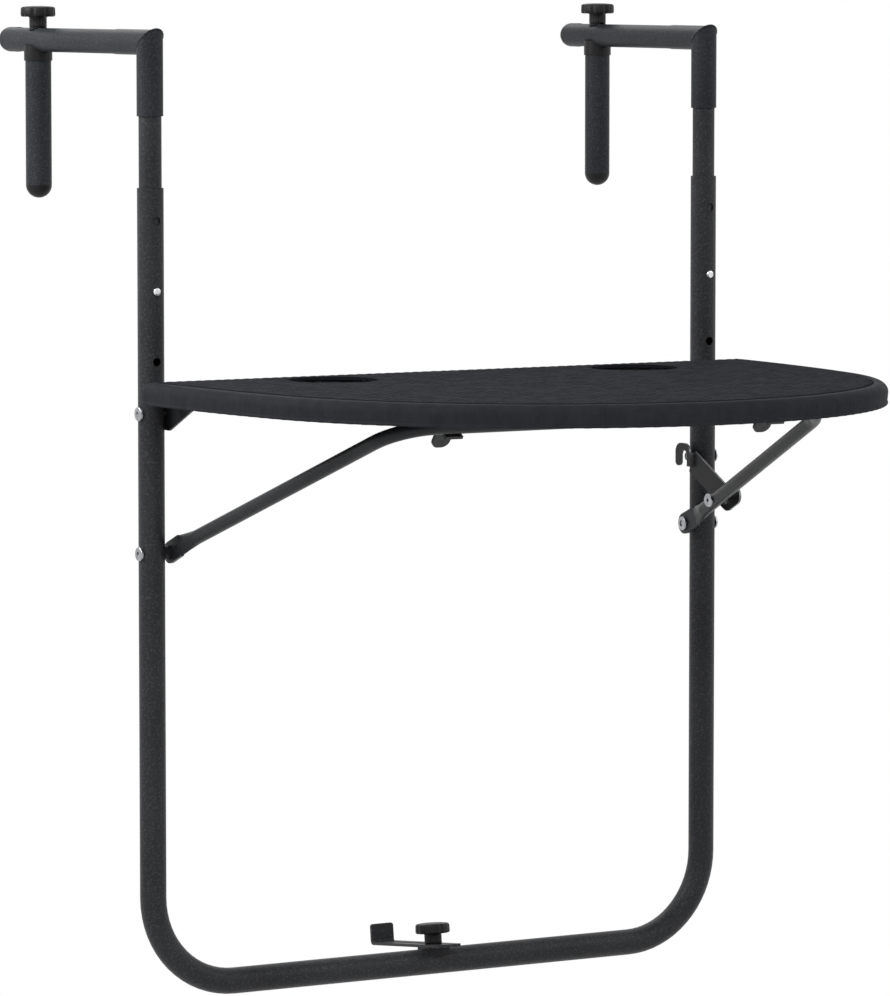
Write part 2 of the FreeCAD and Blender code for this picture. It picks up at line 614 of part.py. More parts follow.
def make_catch(side):
    """Crossbar catch: foot under the top, seat round the crossbar's rear, tongue that slopes rearwards."""
    seat_r = BRACE_D / 2 + CATCH_GAP
    x0 = CATCH_X - CATCH_W / 2
    x1 = CATCH_X + CATCH_W / 2
    ramp = math.radians(CATCH_RAMP_DEG)
    centre = V(x0, CROSSBAR_Y, CROSSBAR_Z)

    def around(radius, angle):
        return centre + V(0, -radius * math.cos(angle), radius * math.sin(angle))

    outer_r = seat_r + CATCH_T
    foot_z = TABLE_UNDER_Z - CATCH_T
    turn_end = math.pi + math.pi / 2 - ramp
    turn_mid = (math.pi + turn_end) / 2
    forward = V(0, -math.cos(ramp), -math.sin(ramp)) * CATCH_RAMP
    wall_in = around(seat_r, math.pi)
    wall_out = around(outer_r, math.pi)
    lip_in = around(seat_r, turn_end)
    lip_out = around(outer_r, turn_end)
    pad_end = CROSSBAR_Y + seat_r + CATCH_T + CATCH_PAD
    edges = [
        Part.makeLine(V(x0, wall_in.y, TABLE_UNDER_Z), wall_in),
        Part.Arc(wall_in, around(seat_r, turn_mid), lip_in).toShape(),
        Part.makeLine(lip_in, lip_in + forward),
        Part.makeLine(lip_in + forward, lip_out + forward),
        Part.makeLine(lip_out + forward, lip_out),
        Part.Arc(lip_out, around(outer_r, turn_mid), wall_out).toShape(),
        Part.makeLine(wall_out, V(x0, wall_out.y, foot_z)),
        Part.makeLine(V(x0, wall_out.y, foot_z), V(x0, pad_end, foot_z)),
        Part.makeLine(V(x0, pad_end, foot_z), V(x0, pad_end, TABLE_UNDER_Z)),
        Part.makeLine(V(x0, pad_end, TABLE_UNDER_Z), V(x0, wall_in.y, TABLE_UNDER_Z)),
    ]
    hook = Part.Face(Part.Wire(edges)).extrude(V(x1 - x0, 0, 0))
    foot_half = SCREW_SPACING / 2 + WOOD_SCREW_HEAD_D / 2 + 1
    foot = block(CATCH_X - foot_half, CATCH_X + foot_half, wall_out.y + 2, pad_end, foot_z, TABLE_UNDER_Z)
    tongue = block(x0, x1, -CATCH_T / 2, CATCH_T / 2, -CATCH_TONGUE, 0)
    corners = [e for e in tongue.Edges if e.BoundBox.ZMax < 1 - CATCH_TONGUE and e.BoundBox.XLength < 1]
    tongue = tongue.makeFillet(CATCH_W * 0.4, corners)
    tongue.rotate(V(0, 0, 0), X_AXIS, CATCH_TONGUE_DEG)
    tongue.translate(V(0, wall_out.y - CATCH_T / 2, foot_z + CATCH_T / 3))
    catch = join([hook, foot, tongue])
    cuts = []
    for place in catch_screws_at(1):
        cuts.append(rod(WOOD_SCREW_D / 2 + 0.2, place - V(0, 0, CATCH_T + 1), place + V(0, 0, 1)))
    catch = catch.cut(cuts)
    return catch if side > 0 else mirrored(catch)


def top_screw(place, plate_t):
    """Pan-head screw up into the top, through a plate of the given thickness."""
    head_z = place.z - plate_t
    head = rod(WOOD_SCREW_HEAD_D / 2, V(place.x, place.y, head_z - WOOD_SCREW_HEAD_H),
               V(place.x, place.y, head_z))
    rim = [e for e in head.Edges if e.BoundBox.ZMax < head_z - WOOD_SCREW_HEAD_H / 2]
    head = head.makeFillet(WOOD_SCREW_HEAD_H * 0.5, rim)
    shank = rod(WOOD_SCREW_D / 2, V(place.x, place.y, head_z - 0.5), place + V(0, 0, WOOD_SCREW_L))
    return join([head, shank])


def make_hook_arm(side):
    """Sleeve and arm of one hook, mitred at 45 degrees and welded into an elbow."""
    reach = ARM_END_Y + SLEEVE_D
    sleeve = rod(SLEEVE_D / 2, V(0, 0, SLEEVE_BOTTOM_Z), V(0, 0, ARM_AXIS_Z + SLEEVE_D))
    arm = rod(ARM_D / 2, V(0, -SLEEVE_D, ARM_AXIS_Z), V(0, ARM_END_Y, ARM_AXIS_Z))
    cutter = Part.makeBox(4 * reach, 4 * reach, 4 * reach, V(-2 * reach, -2 * reach, 0))
    cutter.rotate(V(0, 0, 0), X_AXIS, -45)
    cutter.translate(V(0, 0, ARM_AXIS_Z))
    sleeve_part = sleeve.cut(cutter)
    arm_part = arm.common(cutter)
    body = join([sleeve_part, arm_part])
    bore_r = INNER_R + SLEEVE_FIT
    sleeve_bore = rod(bore_r, V(0, 0, SLEEVE_BOTTOM_Z - 1), V(0, 0, ARM_AXIS_Z + SLEEVE_D)).cut(cutter)
    arm_bore_r = ARM_D / 2 - ARM_WALL
    arm_bore = rod(arm_bore_r, V(0, -SLEEVE_D, ARM_AXIS_Z), V(0, ARM_END_Y + 1, ARM_AXIS_Z)).common(cutter)
    slot_half = SLOT_W / 2
    low = -1
    high = ARM_D + 1
    slot = block(-slot_half, slot_half, SLOT_START_Y, SLOT_END_Y, low, high)
    ends = [rod(slot_half, V(0, y, low), V(0, y, high)) for y in (SLOT_START_Y, SLOT_END_Y)]
    body = body.cut([sleeve_bore, arm_bore, slot] + ends)
    return place_hook(body, side)


def make_inner_tube(side):
    """Inner tube: fixed in the sleeve, slides in the upright, with one hole for the button."""
    top = -INNER_TUBE_TOP_GAP + ARM_AXIS_Z
    tube = pipe(INNER_R, INNER_BORE_R, V(0, 0, INNER_TUBE_BOTTOM_Z), V(0, 0, top))
    tube = tube.cut(rod(HOLE_D / 2, V(0, 0, HOLE_MID_Z), V(0, -FRAME_TUBE_D, HOLE_MID_Z)))
    tube.translate(V(side * HALF_SPACING, 0, 0))
    return tube


def make_arm_end_cap(side):
    """Domed plastic plug in the arm's free end."""
    centre = V(0, ARM_END_Y, ARM_AXIS_Z)
    ball = Part.makeSphere(ARM_D / 2, centre)
    ball = ball.common(block(-ARM_D, ARM_D, ARM_END_Y, ARM_END_Y + ARM_D, -ARM_D, 2 * ARM_D))
    stem_r = ARM_D / 2 - ARM_WALL - PLUG_FIT
    stem = rod(stem_r, V(0, ARM_END_Y - CAP_STEM, ARM_AXIS_Z), V(0, ARM_END_Y + 1, ARM_AXIS_Z))
    hollow = rod(stem_r - CAP_WALL, V(0, ARM_END_Y - CAP_STEM - 1, ARM_AXIS_Z), centre)
    return place_hook(join([ball, stem]).cut(hollow), side)


def clip_leaf_y():
    """Outer faces of the clip's two leaves, from the tube's axis: the leaf fits across the bore."""
    return math.sqrt(INNER_BORE_R ** 2 - (CLIP_W / 2) ** 2) - SLEEVE_FIT


def make_snap_spring(side):
    """Spring strip bent to a U inside the inner tube; the front leaf carries the button."""
    leaf_y = clip_leaf_y()
    bend_z = HOLE_MID_Z - CLIP_LEG
    half = CLIP_W / 2
    bend = rod(leaf_y, V(-half, 0, bend_z), V(half, 0, bend_z))
    bend = bend.cut(rod(leaf_y - CLIP_T, V(-half - 1, 0, bend_z), V(half + 1, 0, bend_z)))
    bend = bend.common(block(-half - 1, half + 1, -leaf_y, leaf_y, bend_z - leaf_y, bend_z))
    front = block(-half, half, -leaf_y, CLIP_T - leaf_y, bend_z, HOLE_MID_Z + BUTTON_D)
    rear = block(-half, half, leaf_y - CLIP_T, leaf_y, bend_z, HOLE_MID_Z - BUTTON_D)
    hole = rod(BUTTON_STEM_D / 2 + SCREW_FIT, V(0, -leaf_y - 1, HOLE_MID_Z), V(0, 0, HOLE_MID_Z))
    spring = join([bend, front, rear]).cut(hole)
    spring.translate(V(side * HALF_SPACING, 0, 0))
    return spring


def make_snap_button(side):
    """Domed locking button with a stem through the spring's front leaf and a riveted tail."""
    leaf_y = clip_leaf_y()
    tip_y = -FRAME_R - BUTTON_PROUD
    seat_y = -leaf_y - SCREW_FIT
    head = rod(BUTTON_D / 2, V(0, seat_y, HOLE_MID_Z), V(0, tip_y, HOLE_MID_Z))
    rim = [e for e in head.Edges if e.BoundBox.YMax < tip_y + 0.01]
    head = head.makeFillet(BUTTON_D * 0.2, rim)
    tail_y = CLIP_T - leaf_y + SCREW_FIT
    stem = rod(BUTTON_STEM_D / 2, V(0, seat_y - 0.5, HOLE_MID_Z), V(0, tail_y + 0.3, HOLE_MID_Z))
    tail = rod(BUTTON_STEM_D * 0.75, V(0, tail_y, HOLE_MID_Z), V(0, tail_y + CLIP_T, HOLE_MID_Z))
    button = join([head, stem, tail])
    button.translate(V(side * HALF_SPACING, 0, 0))
    return button


def make_jaw_tube(side):
    """Clamping jaw: a short upright tube that hangs under the arm."""
    top = -SADDLE_H
    tube = pipe(JAW_D / 2, JAW_D / 2 - JAW_WALL, V(0, JAW_Y, JAW_BOTTOM_Z), V(0, JAW_Y, top))
    return place_hook(tube, side)


def make_jaw_saddle(side):
    """Plastic saddle between jaw and arm: hollowed to the arm's round underside."""
    top = ARM_AXIS_Z * 0.55
    body = rod(JAW_D / 2 + SADDLE_LIP, V(0, JAW_Y, -SADDLE_H), V(0, JAW_Y, top))
    arm_r = ARM_D / 2 + SADDLE_GAP
    body = body.cut(rod(arm_r, V(0, 0, ARM_AXIS_Z), V(0, ARM_END_Y, ARM_AXIS_Z)))
    screw_r = SCREW_D / 2 + SCREW_FIT
    body = body.cut(rod(screw_r, V(0, JAW_Y, -SADDLE_H - 1), V(0, JAW_Y, ARM_D)))
    return place_hook(body, side)


def make_jaw_nut(side):
    """Threaded plug pressed into the jaw tube's top end."""
    top = V(0, JAW_Y, -SADDLE_H)
    bottom = top - V(0, 0, NUT_L)
    plug = pipe(JAW_D / 2 - JAW_WALL - SLEEVE_FIT, SCREW_D / 2 + SCREW_FIT, bottom, top)
    return place_hook(plug, side)


def make_jaw_end_cap(side):
    """Domed plastic plug in the jaw's lower end."""
    centre = V(0, JAW_Y, JAW_BOTTOM_Z)
    ball = Part.makeSphere(JAW_D / 2, centre)
    low = JAW_BOTTOM_Z - JAW_D
    ball = ball.common(block(-JAW_D, JAW_D, JAW_Y - JAW_D, JAW_Y + JAW_D, low, JAW_BOTTOM_Z))
    stem_r = JAW_D / 2 - JAW_WALL - PLUG_FIT
    stem = rod(stem_r, V(0, JAW_Y, JAW_BOTTOM_Z - 1), V(0, JAW_Y, JAW_BOTTOM_Z + CAP_STEM))
    hollow = rod(stem_r - CAP_WALL, centre, V(0, JAW_Y, JAW_BOTTOM_Z + CAP_STEM + 1))
    return place_hook(join([ball, stem]).cut(hollow), side)


def make_clamp_knob(side):
    """Hand knob on top of the arm, over the jaw."""
    body = knob(V(0, JAW_Y, ARM_D + KNOB_GAP))
    hole_top = ARM_D + KNOB_GAP + KNOB_H * 0.6
    body = body.cut(rod(SCREW_D / 2, V(0, JAW_Y, ARM_D), V(0, JAW_Y, hole_top)))
    return place_hook(body, side)


def make_clamp_screw(side):
    """Threaded rod moulded into the knob, down through the arm's slot into the jaw."""
    top = ARM_D + KNOB_GAP + KNOB_H * 0.6
    body = rod(SCREW_D / 2, V(0, JAW_Y, -SADDLE_H - NUT_L - SCREW_TIP / 2), V(0, JAW_Y, top))
    return place_hook(body, side)


def tilted(shape):
    """Sets a spacer piece, built about the bar's axis at the origin, on the bottom bar."""
    placed = shape.copy()
    placed.rotate(V(0, 0, 0), X_AXIS, -SPACER_TILT_DEG)
    placed.translate(V(0, 0, BAR_AXIS_Z))
    return placed


def make_spacer_saddle():
    """Plastic seat between the round bottom bar and the flat strip."""
    top = FRAME_R + SPACER_SADDLE_T
    half_w = SPACER_SADDLE_W / 2
    half_d = SPACER_SADDLE_D / 2
    body = block(-half_w, half_w, -half_d, half_d, 0, top)
    body = body.cut(rod(FRAME_R + SLIDE_FIT, V(-half_w - 1, 0, 0), V(half_w + 1, 0, 0)))
    body = body.cut(rod(RIVET_NUT_D / 2 + 1.2, V(0, 0, 0), V(0, 0, FRAME_R + RIVET_NUT_RIM + 0.2)))
    body = body.cut(rod(SCREW_D / 2 + SCREW_FIT, V(0, 0, 0), V(0, 0, top + 1)))
    return tilted(body)


def make_spacer_strip():
    """Slotted steel strip with its rear end bent up into a tab that bears on the balustrade."""
    low = FRAME_R + SPACER_SADDLE_T + KNOB_GAP / 2
    high = low + STRIP_T
    half = STRIP_W / 2
    flat = block(-half, half, STRIP_FRONT_Y, STRIP_REAR_Y, low, high)
    tab = block(-half, half, STRIP_REAR_Y - STRIP_T, STRIP_REAR_Y, low, low + STRIP_TAB_H)
    body = join([flat, tab])
    heel = [e for e in body.Edges if e.BoundBox.YMin > STRIP_REAR_Y - 0.01
            and e.BoundBox.ZMax < low + 0.01 and e.BoundBox.XLength > STRIP_W / 2]
    body = body.makeFillet(STRIP_BEND_R, heel)
    inside = [e for e in body.Edges if abs(e.BoundBox.YMin - (STRIP_REAR_Y - STRIP_T)) < 0.01
              and abs(e.BoundBox.ZMin - high) < 0.01 and e.BoundBox.XLength > STRIP_W / 2
              and e.BoundBox.ZMax < high + 0.01]
    body = body.makeFillet(STRIP_BEND_R - STRIP_T, inside)
    corners = [e for e in body.Edges if e.BoundBox.YLength > STRIP_T * 0.9
               and e.BoundBox.ZMin > low + STRIP_TAB_H - 0.01]
    body = body.makeFillet(STRIP_T, corners)
    slot_w = STRIP_SLOT_W / 2
    slot_ends = (STRIP_SLOT_FRONT_Y, STRIP_SLOT_REAR_Y)
    slot = block(-slot_w, slot_w, slot_ends[0], slot_ends[1], low - 1, high + 1)
    ends = [rod(slot_w, V(0, y, low - 1), V(0, y, high + 1)) for y in slot_ends]
    return tilted(body.cut([slot] + ends))


def spacer_knob_foot():
    """Height of the spacer knob's foot above the bar's axis."""
    return FRAME_R + SPACER_SADDLE_T + STRIP_T + KNOB_GAP


def make_spacer_knob():
    """Hand knob that clamps the strip."""
    foot = spacer_knob_foot()
    body = knob(V(0, 0, foot))
    return tilted(body.cut(rod(SCREW_D / 2, V(0, 0, foot - 1), V(0, 0, foot + KNOB_H * 0.6))))


def make_spacer_screw():
    """Threaded rod moulded into the spacer knob, down into the bar's rivet nut."""
    top = spacer_knob_foot() + KNOB_H * 0.6
    return tilted(rod(SCREW_D / 2, V(0, 0, FRAME_R - RIVET_NUT_L), V(0, 0, top)))


def make_rivet_nut():
    """Rivet nut set in the top of the bottom bar, with a thin rim on the outside."""
    rim = rod(RIVET_NUT_D / 2 + 1, V(0, 0, FRAME_R - 0.2), V(0, 0, FRAME_R + RIVET_NUT_RIM))
    body = rod(RIVET_NUT_D / 2, V(0, 0, FRAME_R - RIVET_NUT_L), V(0, 0, FRAME_R + RIVET_NUT_RIM))
    rim = rim.cut(rod(FRAME_R, V(-FRAME_TUBE_D, 0, 0), V(FRAME_TUBE_D, 0, 0)))
    bore = rod(SCREW_D / 2 + SCREW_FIT, V(0, 0, 0), V(0, 0, FRAME_TUBE_D))
    return tilted(join([rim, body]).cut(bore))


def make_brace_spacer(side):
    """Plastic washer that holds the brace's flat end off the upright."""
    near = V(BRACE_FLAT_X + FLAT_T / 2 + 0.1, 0, BRACE_PIVOT_Z)
    body = pipe(HEAD_D / 2, PIVOT_D / 2 + SCREW_FIT, near, V(INNER_FACE_X + 1.5, 0, BRACE_PIVOT_Z))
    body = body.cut(rod(FRAME_R, V(HALF_SPACING, 0, BRACE_PIVOT_Z - HEAD_D),
                        V(HALF_SPACING, 0, BRACE_PIVOT_Z + HEAD_D)))
    return body if side > 0 else mirrored(body)


def both_sides(make, *values):
    """Two like pieces, left and right, in one node."""
    return Part.makeCompound([make(side, *values) for side in (-1, 1)])


def write(name, shape):
    """Checks a node's shape and writes its file."""
    if not shape.isValid():
        raise ValueError(name + " is not a valid solid")
    volume = sum(s.Volume for s in shape.Solids)
    print("%-22s solids %d  volume %.1f" % (name, len(shape.Solids), volume))
    shape.exportStep(os.path.join("parts", name + ".step"))


def main():
    os.makedirs("parts", exist_ok=True)
    table_nut_x = INNER_FACE_X - FACE_GAP - PLATE_T
    brace_nut_x = BRACE_FLAT_X - FLAT_T / 2
    write("u_frame", make_frame())
    write("table_hinge_bolts", both_sides(pivot_bolt, TABLE_PIVOT_Z, table_nut_x - FACE_GAP - HEAD_H))
    write("table_hinge_nuts", both_sides(pivot_nut, TABLE_PIVOT_Z, table_nut_x))
    write("brace_bolts", both_sides(pivot_bolt, BRACE_PIVOT_Z, brace_nut_x - FACE_GAP - HEAD_H / 2))
    write("brace_nuts", both_sides(pivot_nut, BRACE_PIVOT_Z, brace_nut_x))
    write("brace_spacers", both_sides(make_brace_spacer))
    write("brace", make_brace())
    write("latch_plate", make_latch_plate())
    write("latch_rivet", make_latch_rivet())
    write("latch_washer", make_latch_washer())
    write("latch_pin", make_latch_pin())
    write("table_top", make_table_top())
    bracket_screws = [top_screw(p, PLATE_T) for side in (-1, 1) for p in bracket_screws_at(side)]
    catch_screws = [top_screw(p, CATCH_T) for side in (-1, 1) for p in catch_screws_at(side)]
    write("bracket_screws", Part.makeCompound(bracket_screws))
    write("catch_screws", Part.makeCompound(catch_screws))
    write("spacer_saddle", make_spacer_saddle())
    write("spacer_strip", make_spacer_strip())
    write("spacer_knob", make_spacer_knob())
    write("spacer_screw", make_spacer_screw())
    write("spacer_rivet_nut", make_rivet_nut())
    for side, word in ((-1, "left_"), (1, "right_")):
        write(word + "hinge_bracket", make_hinge_bracket(side))
        write(word + "catch", make_catch(side))
        write(word + "hook_arm", make_hook_arm(side))
        write(word + "inner_tube", make_inner_tube(side))
        write(word + "arm_end_cap", make_arm_end_cap(side))
        write(word + "snap_spring", make_snap_spring(side))
        write(word + "snap_button", make_snap_button(side))
        write(word + "jaw_tube", make_jaw_tube(side))
        write(word + "jaw_saddle", make_jaw_saddle(side))
        write(word + "jaw_nut", make_jaw_nut(side))
        write(word + "jaw_end_cap", make_jaw_end_cap(side))
        write(word + "clamp_knob", make_clamp_knob(side))
        write(word + "clamp_screw", make_clamp_screw(side))


main()
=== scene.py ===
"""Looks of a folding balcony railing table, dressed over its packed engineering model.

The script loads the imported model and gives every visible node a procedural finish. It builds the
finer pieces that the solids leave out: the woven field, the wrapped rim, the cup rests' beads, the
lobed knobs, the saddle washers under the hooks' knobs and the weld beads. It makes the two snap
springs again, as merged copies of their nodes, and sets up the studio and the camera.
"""

import logging
import math
from abc import ABC, abstractmethod
from dataclasses import dataclass, field
from enum import Enum
from typing import Callable, Iterable

import bmesh
import bpy
from mathutils import Matrix, Vector


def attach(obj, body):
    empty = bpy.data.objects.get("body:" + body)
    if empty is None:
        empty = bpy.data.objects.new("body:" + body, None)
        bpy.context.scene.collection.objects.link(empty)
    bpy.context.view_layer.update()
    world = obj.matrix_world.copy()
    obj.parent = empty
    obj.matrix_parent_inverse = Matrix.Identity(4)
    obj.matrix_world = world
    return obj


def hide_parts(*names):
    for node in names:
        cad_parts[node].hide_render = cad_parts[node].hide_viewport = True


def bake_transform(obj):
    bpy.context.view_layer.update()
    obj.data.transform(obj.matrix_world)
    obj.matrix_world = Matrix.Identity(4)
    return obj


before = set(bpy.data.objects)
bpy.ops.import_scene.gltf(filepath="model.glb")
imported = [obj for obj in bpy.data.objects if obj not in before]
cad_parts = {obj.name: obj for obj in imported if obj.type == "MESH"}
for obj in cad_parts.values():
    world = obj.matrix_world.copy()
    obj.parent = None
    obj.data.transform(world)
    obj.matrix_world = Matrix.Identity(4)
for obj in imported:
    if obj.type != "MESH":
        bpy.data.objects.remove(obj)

MM = 0.001
LOG = logging.getLogger("railing_table")
MERGE = 1e-6
SEAM = 1e-5
CREASE = math.radians(35.0)
NOISE_SPAN = (0.3, 0.7)

Pair = tuple[float, float]
Triple = tuple[float, float, float]
Socket = bpy.types.NodeSocket


class Side(Enum):
    """The two sides of the table, as seen by the person who sits at it."""

    LEFT = -1
    RIGHT = 1

    @property
    def word(self) -> str:
        """Prefix that the side's nodes and bodies carry."""
        return self.name.lower() + "_"


class NodeGraph:
    """Adds the nodes of one shader tree."""

    def __init__(self, tree: bpy.types.NodeTree) -> None:
        """Empties the tree and gives it a source of coordinates.

        Args:
            tree: node tree of a material or a world.
        """
        self.tree = tree
        self.tree.nodes.clear()
        self.coordinates = self.add("ShaderNodeTexCoord")

    def fill(self, socket: Socket, value: object) -> None:
        """Links a value to an input, or sets the input where the value is plain.

        Args:
            socket: the input.
            value: another node's output, a number or a tuple.
        """
        if isinstance(value, Socket):
            self.tree.links.new(value, socket)
        else:
            socket.default_value = value

    def add(self, kind: str, **values: object) -> bpy.types.Node:
        """Adds a node, sets its properties and fills its inputs.

        Args:
            kind: Blender's name of the node type.
            **values: values by property or input; an input's spaces are written as underscores.

        Returns:
            The new node.
        """
        node = self.tree.nodes.new(kind)
        for key, value in values.items():
            if hasattr(node, key):
                setattr(node, key, value)
            else:
                self.fill(node.inputs[key.replace("_", " ")], value)
        return node

    def place(self, scale: Triple, move: Triple = (0.0, 0.0, 0.0)) -> Socket:
        """Object coordinates, scaled and then moved."""
        return self.add("ShaderNodeMapping", Vector=self.coordinates.outputs["Object"],
                        Scale=scale, Location=move).outputs["Vector"]

    def upward(self, coordinates: str) -> Socket:
        """The Z part of one kind of coordinates."""
        vector = self.coordinates.outputs[coordinates]
        return self.add("ShaderNodeSeparateXYZ", Vector=vector).outputs["Z"]

    def noise(self, scale: float, detail: float = 3.0, roughness: float = 0.6,
              vector: Socket | None = None) -> Socket:
        """Noise value, with the scale in cells per metre of the object or of a given vector."""
        return self.add("ShaderNodeTexNoise", Vector=vector or self.coordinates.outputs["Object"],
                        Scale=scale, Detail=detail, Roughness=roughness).outputs["Fac"]

    def cells(self, scale: float) -> Socket:
        """Distance to the nearest cell centre, with the scale in cells per metre."""
        return self.add("ShaderNodeTexVoronoi", Vector=self.coordinates.outputs["Object"],
                        Scale=scale).outputs["Distance"]

    def ramp(self, value: Socket, to_low: float = 0.0, to_high: float = 1.0,
             span: Pair = NOISE_SPAN) -> Socket:
        """Maps a value from its span to the range between two results, clamped."""
        return self.add("ShaderNodeMapRange", Value=value, From_Min=span[0], From_Max=span[1],
                        To_Min=to_low, To_Max=to_high).outputs["Result"]

    def combine(self, operation: str, first: Socket, second: Socket | float) -> Socket:
        """Joins two values with a math operation.

        Args:
            operation: Blender's name of the operation.
            first: first value.
            second: second value, a socket or a number.

        Returns:
            The result's socket.
        """
        node = self.add("ShaderNodeMath", operation=operation)
        self.fill(node.inputs[0], first)
        self.fill(node.inputs[1], second)
        return node.outputs["Value"]

    def bump(self, height: Socket, distance: float, strength: float,
             below: Socket | None = None) -> Socket:
        """Surface relief.

        Args:
            height: relief between 0 and 1.
            distance: its depth in metres.
            strength: share of it that shows.
            below: coarser relief that it adds to.

        Returns:
            The normal socket.
        """
        node = self.add("ShaderNodeBump", Height=height, Distance=distance, Strength=strength)
        if below is not None:
            self.fill(node.inputs["Normal"], below)
        return node.outputs["Normal"]


class SurfaceGraph(NodeGraph):
    """Nodes of one material round its surface shader."""

    def __init__(self, name: str) -> None:
        """Starts the material.

        Args:
            name: name of the material.
        """
        material = bpy.data.materials.new(name)
        material.use_nodes = True
        super().__init__(material.node_tree)
        self.shader = self.add("ShaderNodeBsdfPrincipled")
        self.add("ShaderNodeOutputMaterial", Surface=self.shader.outputs["BSDF"])

    def put(self, name: str, value: object) -> None:
        """Fills one of the shader's inputs."""
        self.fill(self.shader.inputs[name], value)

    def paint(self, factor: Socket, first: Triple, second: Triple) -> None:
        """Blends the base colour from the first colour to the second by a factor."""
        self.put("Base Color", self.add("ShaderNodeMix", data_type="RGBA", Factor=factor,
                                        A=(*first, 1.0), B=(*second, 1.0)).outputs["Result"])

    def roughen(self, source: Socket, swing: Pair, middle: float) -> None:
        """Lets the roughness follow a source, from low to high swing about its middle."""
        self.put("Roughness", self.combine("ADD", self.ramp(source, *swing), middle))


class Finish(ABC):
    """A finish that can be laid on pieces; its material is made once."""

    name: str

    @abstractmethod
    def build(self, graph: SurfaceGraph) -> None:
        """Adds the finish's nodes to its material."""

    def lay_on(self, piece: bpy.types.Object) -> None:
        """Puts the finish on every slot of a piece.

        Args:
            piece: mesh object that takes the finish.
        """
        if self.name not in bpy.data.materials:
            self.build(SurfaceGraph(self.name))
        made = bpy.data.materials[self.name]
        if not piece.material_slots:
            piece.data.materials.append(made)
        for slot in piece.material_slots:
            slot.material = made


@dataclass(frozen=True)
class PowderCoat(Finish):
    """Baked powder coat: orange peel with a finer grain, paler flecks and faint patches."""

    name: str = "powder_coat"
    dark: Triple = (0.019, 0.0195, 0.0215)
    pale: Triple = (0.088, 0.091, 0.098)
    roughness: float = 0.42
    swing: Pair = (-0.06, 0.08)
    shine: float = 0.16
    peel_scale: float = 520.0
    peel_depth: float = 0.22 * MM
    peel_strength: float = 0.8
    grain_per_peel: float = 1.9
    grain_share: float = 0.5
    grain_strength: float = 0.6
    fleck: float = 0.75
    flecks_per_peel: float = 1.1
    fleck_span: Pair = (0.50, 0.72)
    fleck_share: float = 0.55
    patch_scale: float = 14.0
    patch_share: float = 0.16

    def build(self, graph: SurfaceGraph) -> None:
        """Adds the finish's nodes.

        Args:
            graph: nodes of its material.
        """
        grain = graph.noise(self.peel_scale * self.grain_per_peel, detail=4.0, roughness=0.65)
        patches = graph.noise(self.patch_scale, roughness=0.55)
        spots = graph.noise(self.peel_scale * self.flecks_per_peel, detail=2.0, roughness=0.5)
        flecks = graph.ramp(spots, 0.0, self.fleck, self.fleck_span)
        graph.paint(graph.combine("ADD", graph.ramp(patches, 0.0, self.patch_share),
                                  graph.combine("MULTIPLY", flecks, self.fleck_share)),
                    self.dark, self.pale)
        graph.roughen(grain, self.swing, self.roughness)
        graph.put("Specular IOR Level", self.shine)
        coarse = graph.bump(graph.cells(self.peel_scale), self.peel_depth, self.peel_strength)
        graph.put("Normal", graph.bump(grain, self.peel_depth * self.grain_share,
                                       self.grain_strength, coarse))


@dataclass(frozen=True)
class MouldedPlastic(Finish):
    """Matt moulded plastic with a spark-eroded grain and slight flow marks."""

    name: str = "moulded_plastic"
    dark: Triple = (0.006, 0.006, 0.0065)
    pale: Triple = (0.016, 0.016, 0.017)
    roughness: float = 0.38
    swing: Pair = (-0.05, 0.10)
    shine: float = 0.16
    flow_scale: float = 60.0
    flow_stretch: Triple = (1.0, 1.0, 0.35)
    grain_scale: float = 2600.0
    grain_depth: float = 0.04 * MM
    grain_strength: float = 0.6

    def build(self, graph: SurfaceGraph) -> None:
        """Adds the finish's nodes.

        Args:
            graph: nodes of its material.
        """
        flow = graph.noise(self.flow_scale, detail=2.0, roughness=0.5,
                           vector=graph.place(self.flow_stretch))
        grain = graph.noise(self.grain_scale)
        graph.paint(graph.ramp(flow), self.dark, self.pale)
        graph.roughen(grain, self.swing, self.roughness)
        graph.put("Specular IOR Level", self.shine)
        graph.put("Normal", graph.bump(grain, self.grain_depth, self.grain_strength))


@dataclass(frozen=True)
class ZincPlate(Finish):
    """Bright zinc plating with fine turning marks and a faint cloudy tint."""

    name: str = "zinc_plate"
    pale: Triple = (0.44, 0.445, 0.46)
    dark: Triple = (0.27, 0.275, 0.29)
    roughness: float = 0.30
    swing: Pair = (-0.08, 0.14)
    cloud_scale: float = 240.0
    cloud_span: Pair = (0.3, 0.75)
    mark_scale: float = 900.0
    mark_stretch: Triple = (0.15, 1.0, 1.0)
    mark_depth: float = 0.03 * MM
    mark_strength: float = 0.5

    def build(self, graph: SurfaceGraph) -> None:
        """Adds the finish's nodes.

        Args:
            graph: nodes of its material.
        """
        cloud = graph.noise(self.cloud_scale)
        marks = graph.noise(self.mark_scale, detail=2.0, roughness=0.5,
                            vector=graph.place(self.mark_stretch))
        graph.paint(graph.ramp(cloud, span=self.cloud_span), self.pale, self.dark)
        graph.put("Metallic", 1.0)
        graph.roughen(marks, self.swing, self.roughness)
        graph.put("Normal", graph.bump(marks, self.mark_depth, self.mark_strength))


